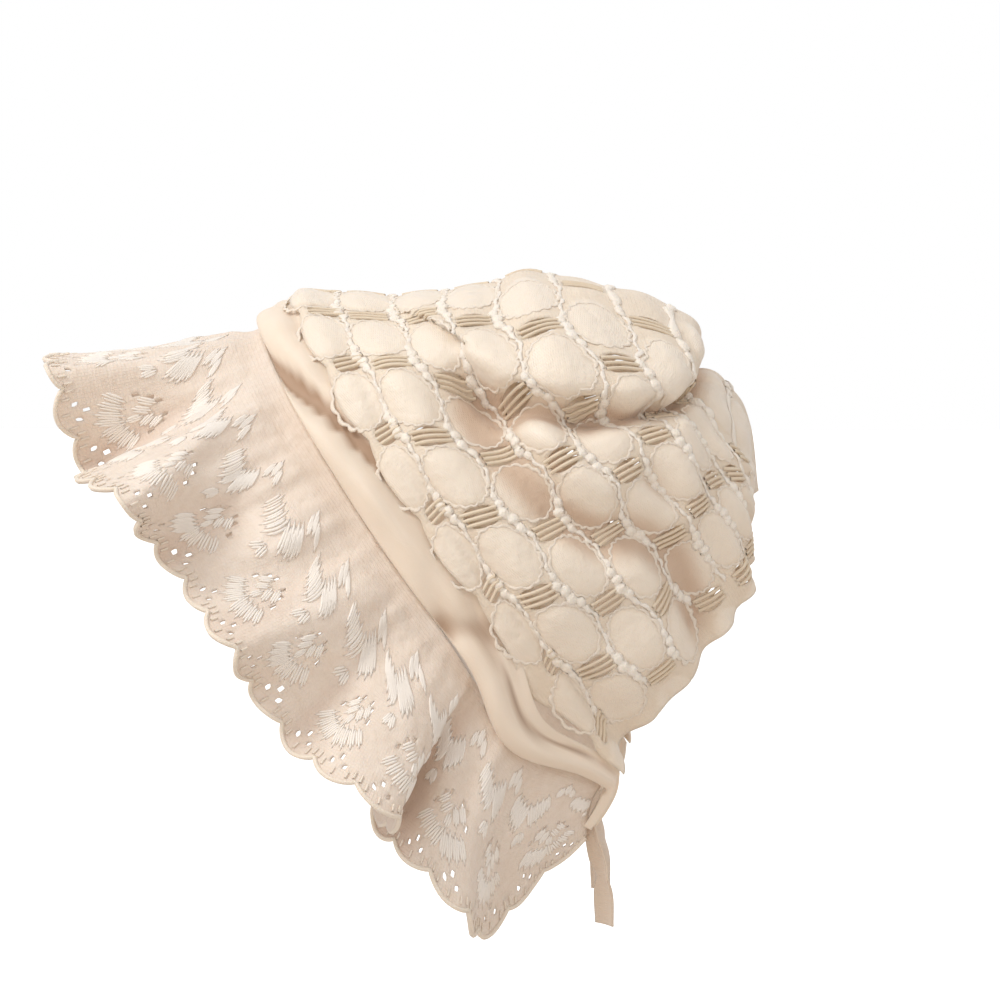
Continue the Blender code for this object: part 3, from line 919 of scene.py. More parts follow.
def makeCrownBars():
    bm = bmesh.new()
    steps = np.linspace(-1, 1, 7)
    for arc, at in openings:
        for offset in (-crown["barStep"], 0.0, crown["barStep"]):
            barAt = at + steps * crown["openAcross"] * crown["barOver"] / crown["depthLength"]
            barArc = arc + (offset + crown["barSlant"] * steps) / halfLength(at)
            lift = -0.0002 + 0.0004 * (1 - steps**2)
            centres = toRow(liftedFrom(crownCloth, barAt, barArc, lift))
            normals = readSurface(crownCloth, "normals", barAt, barArc) @ brimToRow[:3, :3].T
            layTube(bm, centres, normals, crown["barHalf"], crown["barHalf"], 5)
    return pieceFrom("crown_bars", bm, materials["bar"], recalc=True)


crownLace = makeCrownCloth()
crownCords = makeCrownCords()
crownChains = makeCrownChains()
crownBars = makeCrownBars()
print("crown made")

# Band: a soft strip folded over the seam between the crown and the ruffle.

band = {
    "columns": 420,
    "sides": 40,
    "under": 0.0010,
    "frontRise": 0.0034,
    "rearRise": 0.0004,
    "frontOver": 0.0016,  # how far its front bulges over the ruffle's seam
    "endShift": 0.0080,  # how far it is pushed forward before its end
    "endShiftAt": 0.85,
    "endShiftWide": 0.085,
    "endRise": 0.0034,
    "endDrop": (0.0, -0.0062, -0.0135),  # its gathered end, from the brim's foot
    "endRows": 26,
    "endBow": 0.0030,
    "endTaper": 0.35,
    "endFlat": 0.55,
    "endFlatUnder": 0.4,
    "around": 0.03,  # round its section
    "frontSquare": 0.75,  # 1 for an even round, less for a squarer section
    "topSquare": 0.6,
    "ripple": 0.00025,
    "rippleCount": 60,
    "least": 0.0002,
    # painted shade in the creases: where it begins and is full
    "paintedShadeFrom": 0.0006,
    "paintedShadeFull": 0.0030,
    "arcScale": 4,  # the folds' arcs are counted in quarters, to match their widths
}

# Creases and puffs of the band. Places are (arc, across), across from -1 at the front
# to 1 at the back; reach is in the same shares, height in metres.
bandFolds = [
    {"line": [(0.70, -1.0), (1.00, -0.45), (1.40, 0.25), (1.86, 0.95)],
     "reach": 0.20, "below": 0.11, "height": -0.0056},
    {"line": [(1.16, -0.85), (1.55, -0.35), (2.05, 0.15)], "reach": 0.34, "height": 0.0032},
    {"line": [(0.30, -0.60), (0.70, 0.05), (1.10, 0.55)], "reach": 0.25, "height": 0.0009},
    {"line": [(2.05, 0.30), (2.40, -0.10), (2.64, -0.70)], "reach": 0.14, "height": -0.0012},
    {"line": [(2.60, -1.0), (2.74, 0.0), (2.84, 1.0)], "reach": 0.13, "height": -0.0020},
    {"line": [(3.05, -0.55), (3.40, -0.25), (3.80, -0.1)], "reach": 0.40, "height": 0.0016},
    {"line": [(2.96, 0.10), (3.40, 0.30), (3.70, 0.45)], "reach": 0.16, "height": -0.0026},
    {"line": [(-0.64, 0.3), (-1.36, -0.2), (-2.08, -0.6)], "reach": 0.16, "height": -0.0018},
    {"line": [(-2.00, 0.4), (-2.80, -0.1), (-3.68, -0.5)], "reach": 0.16, "height": -0.0018},
    {"line": [(-0.24, -0.6), (0.16, 0.0), (0.40, 0.5)], "reach": 0.14, "height": -0.0010},
]


def bandShift(arcs):
    # the band is pushed forward over the ruffle before its left end
    near = np.exp(-(((arcs - band["endShiftAt"]) / band["endShiftWide"]) ** 2))
    return near * band["endShift"], near * band["endRise"]


def bandPath():
    # places, outward and backward ways, and half widths, with both gathered ends
    arcs = np.linspace(-1, 1, band["columns"] + 1)
    line, outward = brimLine(arcs, 0.0)
    shift, lift = bandShift(arcs)
    line[:, 1] -= shift
    line = line + outward * lift[:, None]
    backward = np.tile([0.0, 1.0, 0.0], (len(arcs), 1))
    half = bandHalf(arcs)
    drop = np.linalg.inv(brimToRow[:3, :3]) @ np.array(band["endDrop"])
    steps = np.linspace(0, 1, band["endRows"] + 1)[1:, None]
    parts = {"line": [line], "outward": [outward], "backward": [backward], "half": [half], "arcs": [arcs]}
    for end, order in ((0, -1), (-1, 1)):
        leave = unit(line[end] - line[end + (1 if end == 0 else -1)])
        bend = np.sin(steps * math.pi / 2)
        extra = line[end] + leave * band["endBow"] * bend * (1 - steps) + drop * steps**1.15
        out = np.tile(outward[end], (len(steps), 1))
        down = unit(drop)
        across = unit(np.cross(out, down)) * order
        across = across * np.sign((across @ np.array([0.0, 1.0, 0.0])))[:, None]
        turn = smooth(steps, 0.0, 0.5)
        wide = half[end] * (1 - band["endTaper"] * steps[:, 0])
        rows = {"line": extra, "outward": out, "backward": unit(backward[:1] * (1 - turn) + across * turn),
                "half": wide, "arcs": arcs[end] + 0.0 * steps[:, 0]}
        for name, value in rows.items():
            if end == 0:
                parts[name].insert(0, value[::-1])
            else:
                parts[name].append(value)
    return {name: np.concatenate(value) for name, value in parts.items()}


def makeBand():
    path = bandPath()
    arcs, line, outward, half = path["arcs"], path["line"], path["outward"], path["half"]
    count = len(arcs)
    extra = np.abs(np.arange(count) - (count - 1) / 2) - band["columns"] / 2
    ended = np.clip(extra / band["endRows"], 0, 1)
    turns = np.linspace(0, 2 * math.pi, band["sides"] + 1)
    rows, uvs, shades = [], [], []
    for turn in turns:
        across = -math.cos(turn)
        upper = math.sin(turn)
        across = math.copysign(abs(across) ** band["frontSquare"], across)
        sideways = across * half
        if upper >= 0:
            front = float(smooth(-across, -0.75, 0.1))
            top = band["rearRise"] + (band["frontRise"] - band["rearRise"]) * front
            rise = np.full(count, top * abs(upper) ** band["topSquare"])
            creases = foldField(bandFolds, arcs * band["arcScale"], np.full(count, across))[0]
            # painted shade where the creases sink the band's top
            shades.append(smooth(-creases, band["paintedShadeFrom"], band["paintedShadeFull"]) * (1 - ended))
            rise = rise + creases * abs(upper) ** 0.5
            rise = rise + band["ripple"] * np.sin(band["rippleCount"] * arcs + 3 * across) * abs(upper)
            rise = rise * (1 - band["endFlat"] * ended)
            overhang = math.sin(math.pi * min(max(-across, 0), 1) ** 2) * upper
            sideways = sideways - band["frontOver"] * overhang
            rise = np.maximum(rise, band["least"])
        else:
            rise = np.full(count, -band["under"] * abs(upper) ** band["topSquare"])
            rise = rise * (1 - band["endFlatUnder"] * ended)
            shades.append(np.zeros(count))
        rows.append(line + outward * rise[:, None] + path["backward"] * sideways[:, None])
        around = np.full(count, turn / (2 * math.pi) * band["around"])
        uvs.append(np.stack([arcs * bonnet["archHalf"], around], -1))
    bm = bmesh.new()
    layGrid(bm, toRow(np.stack(rows)), np.stack(uvs), {"paintedShade": np.stack(shades)})
    bmesh.ops.remove_doubles(bm, verts=bm.verts, dist=0.00001)
    rims = [edge for edge in bm.edges if edge.is_boundary]
    bmesh.ops.holes_fill(bm, edges=rims, sides=0)
    return pieceFrom("band_cloth", bm, materials["band"], 0.00001, recalc=True)


bandCloth = makeBand()
print("band made")

# Ruffle: wide lace round the face, gathered into the seam and falling in folds.

ruffle = {
    "width": 0.060,
    "wall": 0.0007,
    "scallops": 50,
    "perScallop": 13,
    "rows": 62,
    "scallopDepth": 0.0034,
    "seamFlare": 22.0,
    "meanReach": 0.93,  # the ribs' usual reach, as a share of the width
    "hemAt": 0.965,
    "hemSquare": 0.7,
    # painted shade in the folds' valleys: where it begins and is full, and how strong it is
    "paintedShadeFrom": 0.0008,
    "paintedShadeFull": 0.0050,
    "paintedShadeTone": 0.6,
    "eyeletNear": (0.55, 1.45),  # as openNear and openCut of the crown
    "eyeletCut": 0.85,
    "fan": {"wide": 0.26, "out": 0.74, "tall": 0.10},
    "shoulder": {"aside": 0.42, "wide": 0.2, "out": 0.47, "tall": 0.09},
    "motifRise": 0.0004,
    "motifTone": 0.6,
    "strandStep": 0.66,  # between a leaf's three strands, in its half widths
    "strandHalf": 0.34,
    "strandHeight": 0.00036,
    "sideStrand": 0.72,
    "edgeHalf": 0.00065,
    "edgeInset": 0.004,
    "picots": 7,
    "picotGaps": (0.34, 0.66),  # where the small holes lie, kept clear by this share
    "picotClear": 0.09,
    "picotInset": 0.050,
    "picotHalfLength": 0.020,
    "picotHalf": 0.00034,
    "picotHeight": 0.00030,
}

ribNames = ("arc", "reach", "flare", "lean")
ribRows = [
    (-1.00, 0.30, 12, 29),
    (-0.95, 0.66, 16, 27),
    (-0.89, 0.98, 30, 22),
    (-0.82, 0.93, 34, 14),
    (-0.75, 0.84, 12, 6),
    (-0.66, 0.88, 38, 8),
    (-0.56, 0.86, 20, 0),
    (-0.46, 0.90, 36, -2),
    (-0.36, 0.88, 20, 0),
    (-0.26, 0.96, 38, 6),
    (-0.17, 0.96, 14, 0),
    (-0.09, 0.98, 30, 4),
    (0.00, 0.96, 27, 0),
    (0.10, 1.00, 33, 8),
    (0.19, 0.98, 12, -6),
    (0.28, 1.05, 40, 10),
    (0.37, 0.87, 22, -4),
    (0.46, 0.85, 18, -8),
    (0.54, 0.90, 36, -3),
    (0.58, 0.84, 14, -2),
    (0.65, 0.86, 24, 2),
    (0.71, 0.88, 40, 16),
    (0.75, 0.76, 8, 9),
    (0.80, 0.84, 28, 12),
    (0.86, 0.97, 34, 16),
    (0.90, 0.98, 24, 23),
    (0.95, 0.64, 14, 27),
    (1.00, 0.30, 12, 29),
]

# Folds of the ruffle through places given as (arc, out), out running from the seam to
# the hem; they grow towards the hem.
ruffleFolds = [
    {"line": [(0.09, 0.0), (0.11, 0.5), (0.11, 1.1)], "reach": 0.022, "height": 0.0030},
    {"line": [(0.16, 0.0), (0.175, 0.5), (0.20, 1.1)], "reach": 0.030, "height": -0.0040},
    {"line": [(0.215, 0.0), (0.26, 0.5), (0.325, 1.1)],
     "reach": 0.030, "below": 0.020, "height": 0.0052, "slump": 0.002},
    {"line": [(0.30, 0.1), (0.36, 0.6), (0.40, 1.1)], "reach": 0.035, "height": -0.0034},
    {"line": [(0.42, 0.0), (0.44, 0.5), (0.46, 1.1)], "reach": 0.035, "height": 0.0028},
    {"line": [(0.49, 0.1), (0.51, 0.6), (0.52, 1.1)], "reach": 0.026, "height": -0.0030},
    {"line": [(0.55, 0.0), (0.575, 0.5), (0.60, 1.1)], "reach": 0.028, "height": 0.0046, "slump": 0.002},
    {"line": [(0.61, 0.2), (0.635, 0.6), (0.65, 1.1)], "reach": 0.022, "height": -0.0034},
    {"line": [(0.66, 0.0), (0.67, 0.5), (0.675, 1.1)], "reach": 0.020, "height": 0.0020},
    {"line": [(0.745, 1.1), (0.735, 0.5), (0.735, 0.0)],
     "reach": 0.012, "below": 0.040, "height": 0.0066, "slump": -0.0050},
    {"line": [(0.770, 0.0), (0.780, 0.5), (0.785, 1.1)], "reach": 0.020, "height": -0.0070},
    {"line": [(0.82, 0.0), (0.85, 0.5), (0.86, 1.1)], "reach": 0.026, "height": 0.0040},
    {"line": [(0.91, 0.1), (0.925, 0.6), (0.93, 0.9)], "reach": 0.022, "height": -0.0014},
    {"line": [(-0.10, 0.0), (-0.12, 1.1)], "reach": 0.030, "height": -0.0034},
    {"line": [(-0.20, 0.0), (-0.26, 1.1)], "reach": 0.030, "height": 0.0046},
    {"line": [(-0.33, 0.0), (-0.38, 1.1)], "reach": 0.030, "height": -0.0036},
    {"line": [(-0.46, 0.0), (-0.50, 1.1)], "reach": 0.032, "height": 0.0040},
    {"line": [(-0.58, 0.0), (-0.62, 1.1)], "reach": 0.026, "height": -0.0034},
    {"line": [(-0.69, 0.0), (-0.72, 1.1)], "reach": 0.026, "height": 0.0046},
    {"line": [(-0.78, 0.0), (-0.80, 1.1)], "reach": 0.020, "height": -0.0044},
    {"line": [(-0.86, 0.0), (-0.89, 1.1)], "reach": 0.024, "height": 0.0036},
]


def ruffleSurface():
    arcs = np.linspace(-1, 1, 1301)
    outs = np.linspace(0, 1.06, 107)
    seam, outward = brimLine(arcs, bandHalf(arcs) + bonnet["sewnGap"])
    toFoot = unit(np.gradient(seam, axis=0) * np.sign(arcs + 1e-9)[:, None])
    forward = np.array([0.0, -1.0, 0.0])
    reach = fromTable(ribRows, ribNames, "reach", arcs) * ruffle["width"]
    flare = fromTable(ribRows, ribNames, "flare", arcs)
    lean = np.radians(fromTable(ribRows, ribNames, "lean", arcs))
    # small gathers at the seam, in three uneven waves
    gathers = (
        0.00030 * np.sin(math.pi * 41 * arcs + 0.9 * np.sin(9 * arcs))
        + 0.00020 * np.sin(math.pi * 67 * arcs + 1.0)
        + 0.00050 * np.sin(math.pi * 23 * arcs + 2.0)
    )
    rows, paintedShades = [], []
    for out in outs:
        grown = out**0.7
        tucked = float(smooth(out, 0.0, 0.16))
        opened = np.radians((ruffle["seamFlare"] + (flare - ruffle["seamFlare"]) * grown) * tucked)
        turned = lean * grown
        straight = forward * np.cos(opened)[:, None] + outward * np.sin(opened)[:, None]
        across = outward * np.cos(opened)[:, None] - forward * np.sin(opened)[:, None]
        way = straight * np.cos(turned)[:, None] + toFoot * np.sin(turned)[:, None]
        stand = gathers * math.sin(math.pi * min(out * 1.6, 1.0)) ** 0.8
        ripple = 0.0005 * np.sin(math.pi * 31 * arcs + 5 * out) * smooth(out, 0.3, 0.9)
        height, slideArc = foldField(ruffleFolds, arcs, np.full(len(arcs), out))[:2]
        grow = 0.25 + 0.75 * float(smooth(out, 0.0, 0.8))
        grow = grow * float(smooth(out, 0.0, 0.14))
        row = seam + way * (reach * out)[:, None] + across * (stand + ripple + height * grow)[:, None]
        row = row + unit(np.gradient(seam, axis=0)) * (slideArc * grow)[:, None]
        rows.append(row)
        # painted shade where the folds sink the ruffle
        paintedShades.append(smooth(-height * grow, ruffle["paintedShadeFrom"], ruffle["paintedShadeFull"]))
    made = surfaceFrom(np.stack(rows)[::-1], outs[::-1] * -1, arcs)
    made["paintedShade"] = np.stack(paintedShades)[::-1][..., None]
    return made


ruffleCloth = ruffleSurface()
ruffleKeys = -ruffleCloth["rowKeys"]
hemPoints = ruffleCloth["points"][np.argmin(np.abs(ruffleKeys - 1.0))]
hemAlong = np.concatenate([[0], np.cumsum(np.linalg.norm(np.diff(hemPoints, axis=0), axis=1))])
hemLength = hemAlong[-1]
print("hem length", hemLength)


def arcOfHem(share):
    # the seam's arc under an even share of the hem's own length, from 0 to 1
    return np.interp(share * hemLength, hemAlong, ruffleCloth["columnKeys"])


def onRuffle(arc, out, lift):
    place = toRow(liftedFrom(ruffleCloth, -np.asarray(out, float), arc, lift))
    normal = readSurface(ruffleCloth, "normals", -np.asarray(out, float), arc) @ brimToRow[:3, :3].T
    return place, normal


def hemOut(share):
    # the scalloped hem, as a share of the ruffle's width
    wave = np.abs(np.sin(math.pi * ruffle["scallops"] * share)) ** ruffle["hemSquare"]
    return ruffle["hemAt"] + ruffle["scallopDepth"] / ruffle["width"] * 1.1 * wave


# Small holes: how many scallops they repeat over, where in that repeat, out in shares
# of the width, and the half sizes in metres.
eyeletRows = [
    (1, 0.34, 0.925, 0.0008, 0.0008),
    (1, 0.66, 0.925, 0.0008, 0.0008),
    (1, 0.50, 0.885, 0.0007, 0.0010),
    (2, 0.415, 0.545, 0.0010, 0.0009),
    (2, 0.585, 0.545, 0.0010, 0.0009),
    (2, 0.335, 0.585, 0.0009, 0.0011),
    (2, 0.665, 0.585, 0.0009, 0.0011),
    (2, 0.265, 0.640, 0.0008, 0.0011),
    (2, 0.735, 0.640, 0.0008, 0.0011),
]


def eyeletAway(place, out, pitch):
    # for each row of holes, how far any place is from its nearest hole
    for every, along, middle, halfAlong, halfOut in eyeletRows:
        u = (place / every - np.floor(place / every) - along) * every * pitch / halfAlong
        v = (out - middle) * ruffle["width"] * ruffle["meanReach"] / halfOut
        yield u, v, halfAlong, halfOut


def makeRuffleCloth():
    columns = ruffle["scallops"] * ruffle["perScallop"]
    shares = np.linspace(0, 1, columns + 1)
    arcs = arcOfHem(shares)
    even = np.linspace(-1, 1, columns + 1)
    outs = np.linspace(0, 1, ruffle["rows"] + 1)
    out = outs[:, None] * hemOut(shares)[None, :]
    mixed = smooth(out, 0.0, 0.5)
    arc = arcs[None, :] * mixed + even[None, :] * (1 - mixed)
    pitch = hemLength / ruffle["scallops"]
    place = np.repeat(shares[None, :], len(outs), axis=0) * ruffle["scallops"]
    moved = place.copy()
    for u, v, halfAlong, halfOut in eyeletAway(place, out, pitch):
        size = np.sqrt(u * u + v * v)
        near = (size > ruffle["eyeletNear"][0]) & (size < ruffle["eyeletNear"][1])
        shift = np.where(near, 1 / np.maximum(size, 1e-6), 1.0)
        moved = moved + np.where(near, u * (shift - 1) * halfAlong / pitch, 0)
        out = out + np.where(near, v * (shift - 1) * halfOut / (ruffle["width"] * ruffle["meanReach"]), 0)
    arc = arc + (arcOfHem(moved / ruffle["scallops"]) - arcOfHem(place / ruffle["scallops"])) * mixed
    rise, mask = ruffleRelief(moved, out)
    points = onRuffle(arc, out, rise)[0]
    uv = np.stack([moved * pitch, out * ruffle["width"]], -1)
    bm = bmesh.new()
    # painted shade from the folds, read at the lace's points
    paintedShade = readSurface(ruffleCloth, "paintedShade", -out, arc)[..., 0] * ruffle["paintedShadeTone"]
    layGrid(bm, points[::-1], uv[::-1], {"satin": mask[::-1], "paintedShade": paintedShade[::-1]})
    uvLayer = bm.loops.layers.uv.verify()
    faces = list(bm.faces)
    corners = np.array([[loop[uvLayer].uv[:] for loop in face.loops] for face in faces])
    middles = corners.mean(axis=1)
    cutAway = np.zeros(len(faces), bool)
    middlePlace, middleOut = middles[:, 0] / pitch, middles[:, 1] / ruffle["width"]
    for u, v, halfAlong, halfOut in eyeletAway(middlePlace, middleOut, pitch):
        cutAway |= u * u + v * v < ruffle["eyeletCut"]
    gone = [face for face, drop in zip(faces, cutAway) if drop]
    bmesh.ops.delete(bm, geom=gone, context="FACES")
    piece = pieceFrom("ruffle_lace", bm, materials["ruffle"])
    thicken(piece, ruffle["wall"])
    return piece


# The lace's leaves: for each unit of two scallops, a fan of long satin leaves. along is
# in scallops from the unit's middle, out a share of the width, turn in degrees from the
# hem's direction, length and half width in metres.
leafRows = [
    (-0.09, 0.800, 106, 0.0100, 0.00130),
    (0.09, 0.800, 74, 0.0100, 0.00130),
    (-0.25, 0.790, 114, 0.0100, 0.00130),
    (0.25, 0.790, 66, 0.0100, 0.00130),
    (-0.41, 0.770, 122, 0.0095, 0.00130),
    (0.41, 0.770, 58, 0.0095, 0.00130),
    (-0.56, 0.745, 130, 0.0085, 0.00125),
    (0.56, 0.745, 50, 0.0085, 0.00125),
    (-0.14, 0.640, 122, 0.0070, 0.00125),
    (0.14, 0.640, 58, 0.0070, 0.00125),
    (-0.28, 0.605, 128, 0.0070, 0.00125),
    (0.28, 0.605, 52, 0.0070, 0.00125),
    (0.00, 0.690, 90, 0.0060, 0.00120),
    (-0.86, 0.420, 68, 0.0120, 0.00150),
    (-0.72, 0.400, 68, 0.0120, 0.00150),
    (-0.58, 0.375, 68, 0.0110, 0.00150),
    (-0.45, 0.345, 68, 0.0095, 0.00120),
    (0.86, 0.420, 112, 0.0120, 0.00150),
    (0.72, 0.400, 112, 0.0120, 0.00150),
    (0.58, 0.375, 112, 0.0110, 0.00150),
    (0.45, 0.345, 112, 0.0095, 0.00120),
    (-0.20, 0.255, 104, 0.0070, 0.00130),
    (0.20, 0.255, 76, 0.0070, 0.00130),
    (0.00, 0.225, 90, 0.0075, 0.00130),
    (-0.92, 0.560, 70, 0.0060, 0.00130),
    (0.92, 0.560, 110, 0.0060, 0.00130),
]


def ruffleRelief(place, out):
    # a shallow stand round each motif, so that the ground lies lower
    unitPlace = place / 2 - np.floor(place / 2) - 0.5
    fan, shoulder = ruffle["fan"], ruffle["shoulder"]
    aside = np.abs(unitPlace) - shoulder["aside"]
    lower = np.exp(-((unitPlace / fan["wide"]) ** 2) - ((out - fan["out"]) / fan["tall"]) ** 2)
    upper = np.exp(-((aside / shoulder["wide"]) ** 2) - ((out - shoulder["out"]) / shoulder["tall"]) ** 2)
    mask = np.clip(lower + upper, 0, 1)
    return mask * ruffle["motifRise"], mask * ruffle["motifTone"]


def makeRuffleLeaves():
    # each leaf is three fine strands side by side, the outer ones shorter
    bm = bmesh.new()
    pitch = hemLength / ruffle["scallops"]
    spread = np.linspace(-1, 1, 7)
    shape = np.maximum(1 - spread**2, 0) ** 0.5
    for index in range(ruffle["scallops"] // 2):
        for along, out, turn, length, half in leafRows:
            angle = math.radians(turn)
            for side in (-1, 0, 1):
                run = spread * (1.0 if side == 0 else ruffle["sideStrand"]) * length / 2
                aside = side * half * ruffle["strandStep"]
                places = index * 2 + 1 + along + (run * math.cos(angle) - aside * math.sin(angle)) / pitch
                places = np.clip(places / ruffle["scallops"], 0.002, 0.998)
                outs = out + (run * math.sin(angle) + aside * math.cos(angle)) / ruffle["width"]
                mixed = smooth(outs, 0.0, 0.5)
                arcs = arcOfHem(places) * mixed + (places * 2 - 1) * (1 - mixed)
                lift = ruffleRelief(places * ruffle["scallops"], outs)[0] + 0.0001
                centres, normals = onRuffle(arcs, outs, lift)
                wide = half * ruffle["strandHalf"] * shape
                layTube(bm, centres, normals, wide, ruffle["strandHeight"] * shape, 5)
    return pieceFrom("ruffle_leaves", bm, materials["leaf"], 0.000005, recalc=True)


def makeRuffleEdge():
    # a cord along the scallops and short picot bars inside it
    bm = bmesh.new()
    shares = np.linspace(0.0008, 0.9992, ruffle["scallops"] * 22 + 1)
    arcs = arcOfHem(shares)
    centres, normals = onRuffle(arcs, hemOut(shares) - ruffle["edgeInset"], np.full(len(shares), 0.0001))
    layTube(bm, centres, normals, ruffle["edgeHalf"], ruffle["edgeHalf"], 6)
    steps = np.linspace(-1, 1, 5)
    for index in range(ruffle["scallops"] * ruffle["picots"]):
        place = (index + 0.5) / ruffle["picots"]
        if min(abs(place % 1 - gap) for gap in ruffle["picotGaps"]) < ruffle["picotClear"]:
            continue
        share = np.full(len(steps), place / ruffle["scallops"])
        outs = hemOut(share) - ruffle["picotInset"] + steps * ruffle["picotHalfLength"]
        centres, normals = onRuffle(arcOfHem(share), outs, np.full(len(steps), 0.0002))
        layTube(bm, centres, normals, ruffle["picotHalf"], ruffle["picotHeight"], 5)
    return pieceFrom("ruffle_edge", bm, materials["cord"], 0.000005, recalc=True)


ruffleLace = makeRuffleCloth()
ruffleLeaves = makeRuffleLeaves()
ruffleEdge = makeRuffleEdge()
print("ruffle made")

# Ties: flat ribbon from the band's ends, with a half turn near the cut end.

tie = {
    "length": 0.0285,
    "width": 0.010,
    "thickness": 0.0006,
    "rightSway": -0.0031,
    "tucked": 0.0015,
    "gap": 0.0004,
    "curl": 0.0009,
    "rows": 60,
    "columns": 12,
}
tieNames = ("down", "back", "turn", "spread")
tieRows = [
    (0.00, 0.00, 0.14, 0.42),
    (0.18, 0.03, 0.13, 0.55),
    (0.38, 0.08, 0.14, 0.72),
    (0.52, 0.12, 0.19, 0.90),
    (0.66, 0.13, 0.16, 0.90),
    (1.00, 0.14, 0.165, 0.95),
]


def makeTie(name, side):
    line = brimLine(np.array([-1.0, -0.96, 0.96, 1.0]), 0.0)[0]
    foot = toRow(line[-1] if side > 0 else line[0]) + np.array(band["endDrop"])
    foot = foot + np.array([0.0, 0.0, tie["tucked"]])
    downs = np.linspace(0, 1, tie["rows"] + 1)
    across = np.linspace(-1, 1, tie["columns"] + 1)
    back = fromTable(tieRows, tieNames, "back", downs) * tie["length"]
    turn = fromTable(tieRows, tieNames, "turn", downs) * 2 * math.pi * side
    wide = fromTable(tieRows, tieNames, "spread", downs) * tie["width"]
    flat = np.stack([np.sin(turn), np.cos(turn), 0 * turn], -1)
    facing = np.stack([np.cos(turn), -np.sin(turn), 0 * turn], -1) * side
    sway = 0.0 if side > 0 else tie["rightSway"] * smooth(downs, 0.0, 0.35)
    lower = -tie["gap"] - downs * (tie["length"] - tie["gap"])
    middle = foot + np.stack([0 * downs, back + sway, lower], -1)
    curl = tie["curl"] * (across**2 - 0.5)
    points = (
        middle[:, None, :]
        + flat[:, None, :] * wide[:, None, None] / 2 * across[None, :, None]
        + facing[:, None, :] * (curl[None, :] * (1.2 - 0.6 * downs[:, None]))[..., None]
    )
    uv = np.stack(np.meshgrid(across * tie["width"] / 2, downs * tie["length"]), -1)
    bm = bmesh.new()
    layGrid(bm, points, uv)
    piece = pieceFrom(name, bm, materials["ribbon"])
    thicken(piece, tie["thickness"], 0.0)
    return piece


tieLeft = makeTie("tie_left_ribbon", 1)
tieRight = makeTie("tie_right_ribbon", -1)
print("ties made")

crownPieces = [crownLace, crownCords, crownChains, crownBars]
rufflePieces = [ruffleLace, ruffleLeaves, ruffleEdge]
tiePieces = [tieLeft, tieRight]
for piece in crownPieces + [bandCloth] + rufflePieces + tiePieces:
    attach(piece, "root")
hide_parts("crown")
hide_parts("band")
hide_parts("ruffle")
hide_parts("tie_left")
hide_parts("tie_right")

# Room: a pale floor with a backdrop, soft light from the upper left, and the camera.

view = {
    "azimuth": 93.0,
    "elevation": 3.0,
    "distance": 1.2,
    "pixel": 0.00028,  # the size of one of the picture's pixels at the bonnet
    "pixels": 1000,
    "sensor": 36.0,
    "brimPixel": (616.8, 761.3),  # where the brim's foot falls in the photograph
    "depth": -0.0043,
}


def makeCamera():
    a, e = math.radians(view["azimuth"]), math.radians(view["elevation"])
    back = Vector((math.sin(a) * math.cos(e), -math.cos(a) * math.cos(e), math.sin(e)))
    turn = (-back).to_track_quat("-Z", "Y")
    right, up = turn @ Vector((1, 0, 0)), turn @ Vector((0, 1, 0))
    foot = Vector(brimToRow[:3, 3])
    nearer = (view["distance"] + view["depth"] - foot @ back) / view["distance"]
    step = view["pixel"] * nearer
    centre = view["pixels"] / 2
    sideways = foot @ right - (view["brimPixel"][0] - centre) * step
    upwards = foot @ up + (view["brimPixel"][1] - centre) * step
    middle = right * sideways + up * upwards + back * view["depth"]
    data = bpy.data.cameras.new("camera")
    camera = bpy.data.objects.new("camera", data)
    bpy.context.scene.collection.objects.link(camera)
    camera.location = middle + back * view["distance"]
    camera.rotation_euler = turn.to_euler()
    data.sensor_width = view["sensor"]
    data.lens = view["sensor"] * view["distance"] / (view["pixels"] * view["pixel"])
    data.clip_start = 0.01
    bpy.context.scene.camera = camera
    return middle, right, up, back


middle, right, up, back = makeCamera()

room = {
    "floor": -0.26,
    "half": 6.0,
    "lit": srgb(0.84, 0.81, 0.78),  # the floor's tone as it sheds light, and as it is seen
    "shown": srgb(0.97, 0.968, 0.962),
    "glow": 0.55,
    "skyTone": (1.0, 0.98, 0.965, 1.0),
    "ambient": 0.82,
    "seen": 1.0,
}

# Ways are to the right, up and towards the camera.
lamps = {
    "key": {"way": (-0.85, 1.00, 0.55), "distance": 1.6, "size": 0.6, "power": 10.5,
            "colour": (1.0, 0.985, 0.96)},
    "fill": {"way": (-0.35, -0.25, 1.0), "distance": 2.2, "size": 1.4, "power": 7.5,
             "colour": (1.0, 0.975, 0.95)},
}


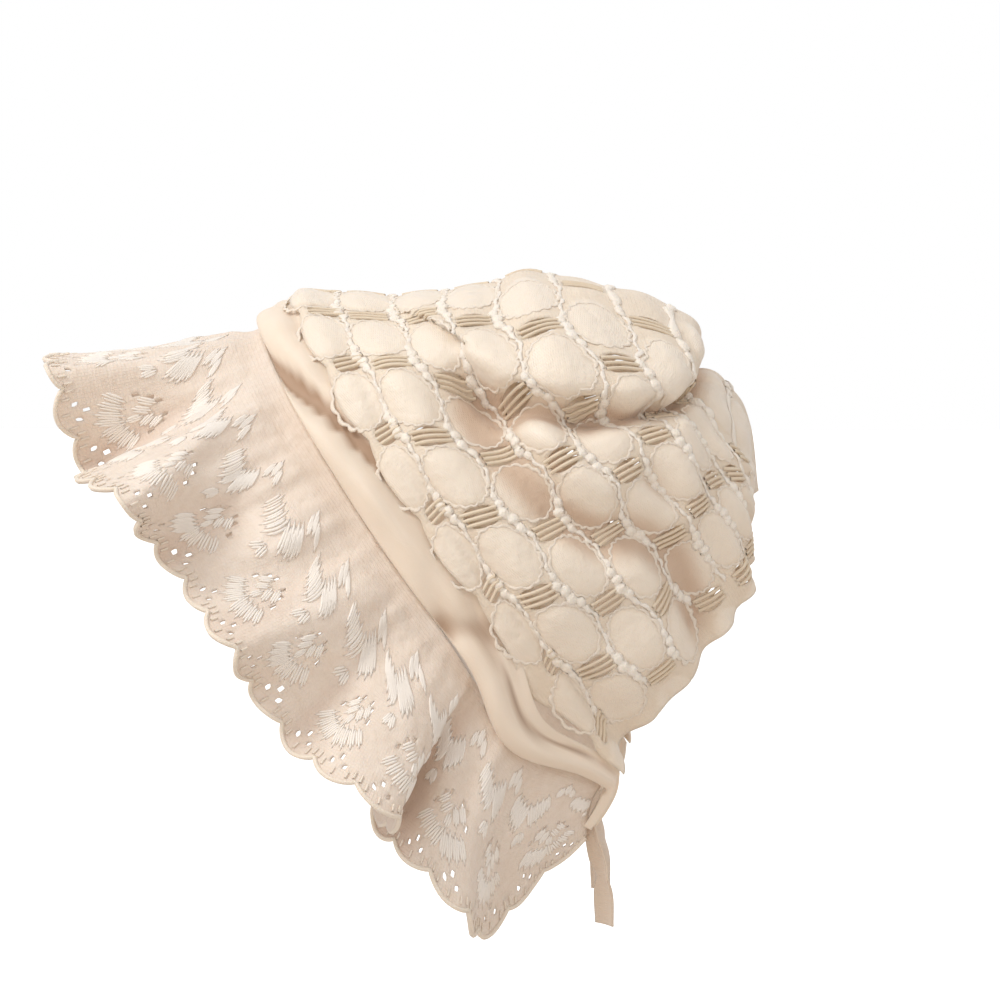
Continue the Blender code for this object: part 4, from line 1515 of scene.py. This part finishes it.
def makeLight(name, lamp):
    data = bpy.data.lights.new(name, "AREA")
    data.shape = "DISK"
    data.size = lamp["size"]
    data.energy = lamp["power"]
    data.color = lamp["colour"]
    made = bpy.data.objects.new(name, data)
    bpy.context.scene.collection.objects.link(made)
    way = right * lamp["way"][0] + up * lamp["way"][1] + back * lamp["way"][2]
    made.location = middle + way.normalized() * lamp["distance"]
    made.rotation_euler = (-way).to_track_quat("-Z", "Y").to_euler()


def makeRoom():
    finish = bpy.data.materials.new("paleFloor")
    finish.use_nodes = True
    shader = finish.node_tree.nodes["Principled BSDF"]
    shader.inputs["Roughness"].default_value = 0.9
    shader.inputs["Emission Strength"].default_value = room["glow"]
    tree = finish.node_tree
    path = tree.nodes.new("ShaderNodeLightPath")
    tone = mixColour(tree, path.outputs["Is Camera Ray"], room["lit"], room["shown"])
    tree.links.new(tone, shader.inputs["Base Color"])
    glow = mixColour(tree, path.outputs["Is Camera Ray"], (0.0, 0.0, 0.0, 1.0), (1.0, 1.0, 1.0, 1.0))
    tree.links.new(glow, shader.inputs["Emission Color"])
    bm = bmesh.new()
    ground = Matrix.Translation((0.0, 0.0, room["floor"]))
    bmesh.ops.create_grid(bm, x_segments=1, y_segments=1, size=room["half"], matrix=ground)
    pieceFrom("floor", bm, finish)


def makeWorld():
    # bright to the eye and softer as a light
    world = bpy.data.worlds.new("studio")
    world.use_nodes = True
    tree = world.node_tree
    seen = tree.nodes["Background"]
    seen.inputs["Color"].default_value = (1.0, 1.0, 1.0, 1.0)
    seen.inputs["Strength"].default_value = room["seen"]
    shed = tree.nodes.new("ShaderNodeBackground")
    shed.inputs["Color"].default_value = room["skyTone"]
    shed.inputs["Strength"].default_value = room["ambient"]
    path = tree.nodes.new("ShaderNodeLightPath")
    mix = tree.nodes.new("ShaderNodeMixShader")
    tree.links.new(path.outputs["Is Camera Ray"], mix.inputs[0])
    tree.links.new(shed.outputs[0], mix.inputs[1])
    tree.links.new(seen.outputs[0], mix.inputs[2])
    tree.links.new(mix.outputs[0], tree.nodes["World Output"].inputs["Surface"])
    bpy.context.scene.world = world


makeRoom()
makeWorld()
for name, lamp in lamps.items():
    makeLight(name, lamp)
bpy.context.scene.view_settings.view_transform = "Standard"
print("room ready")
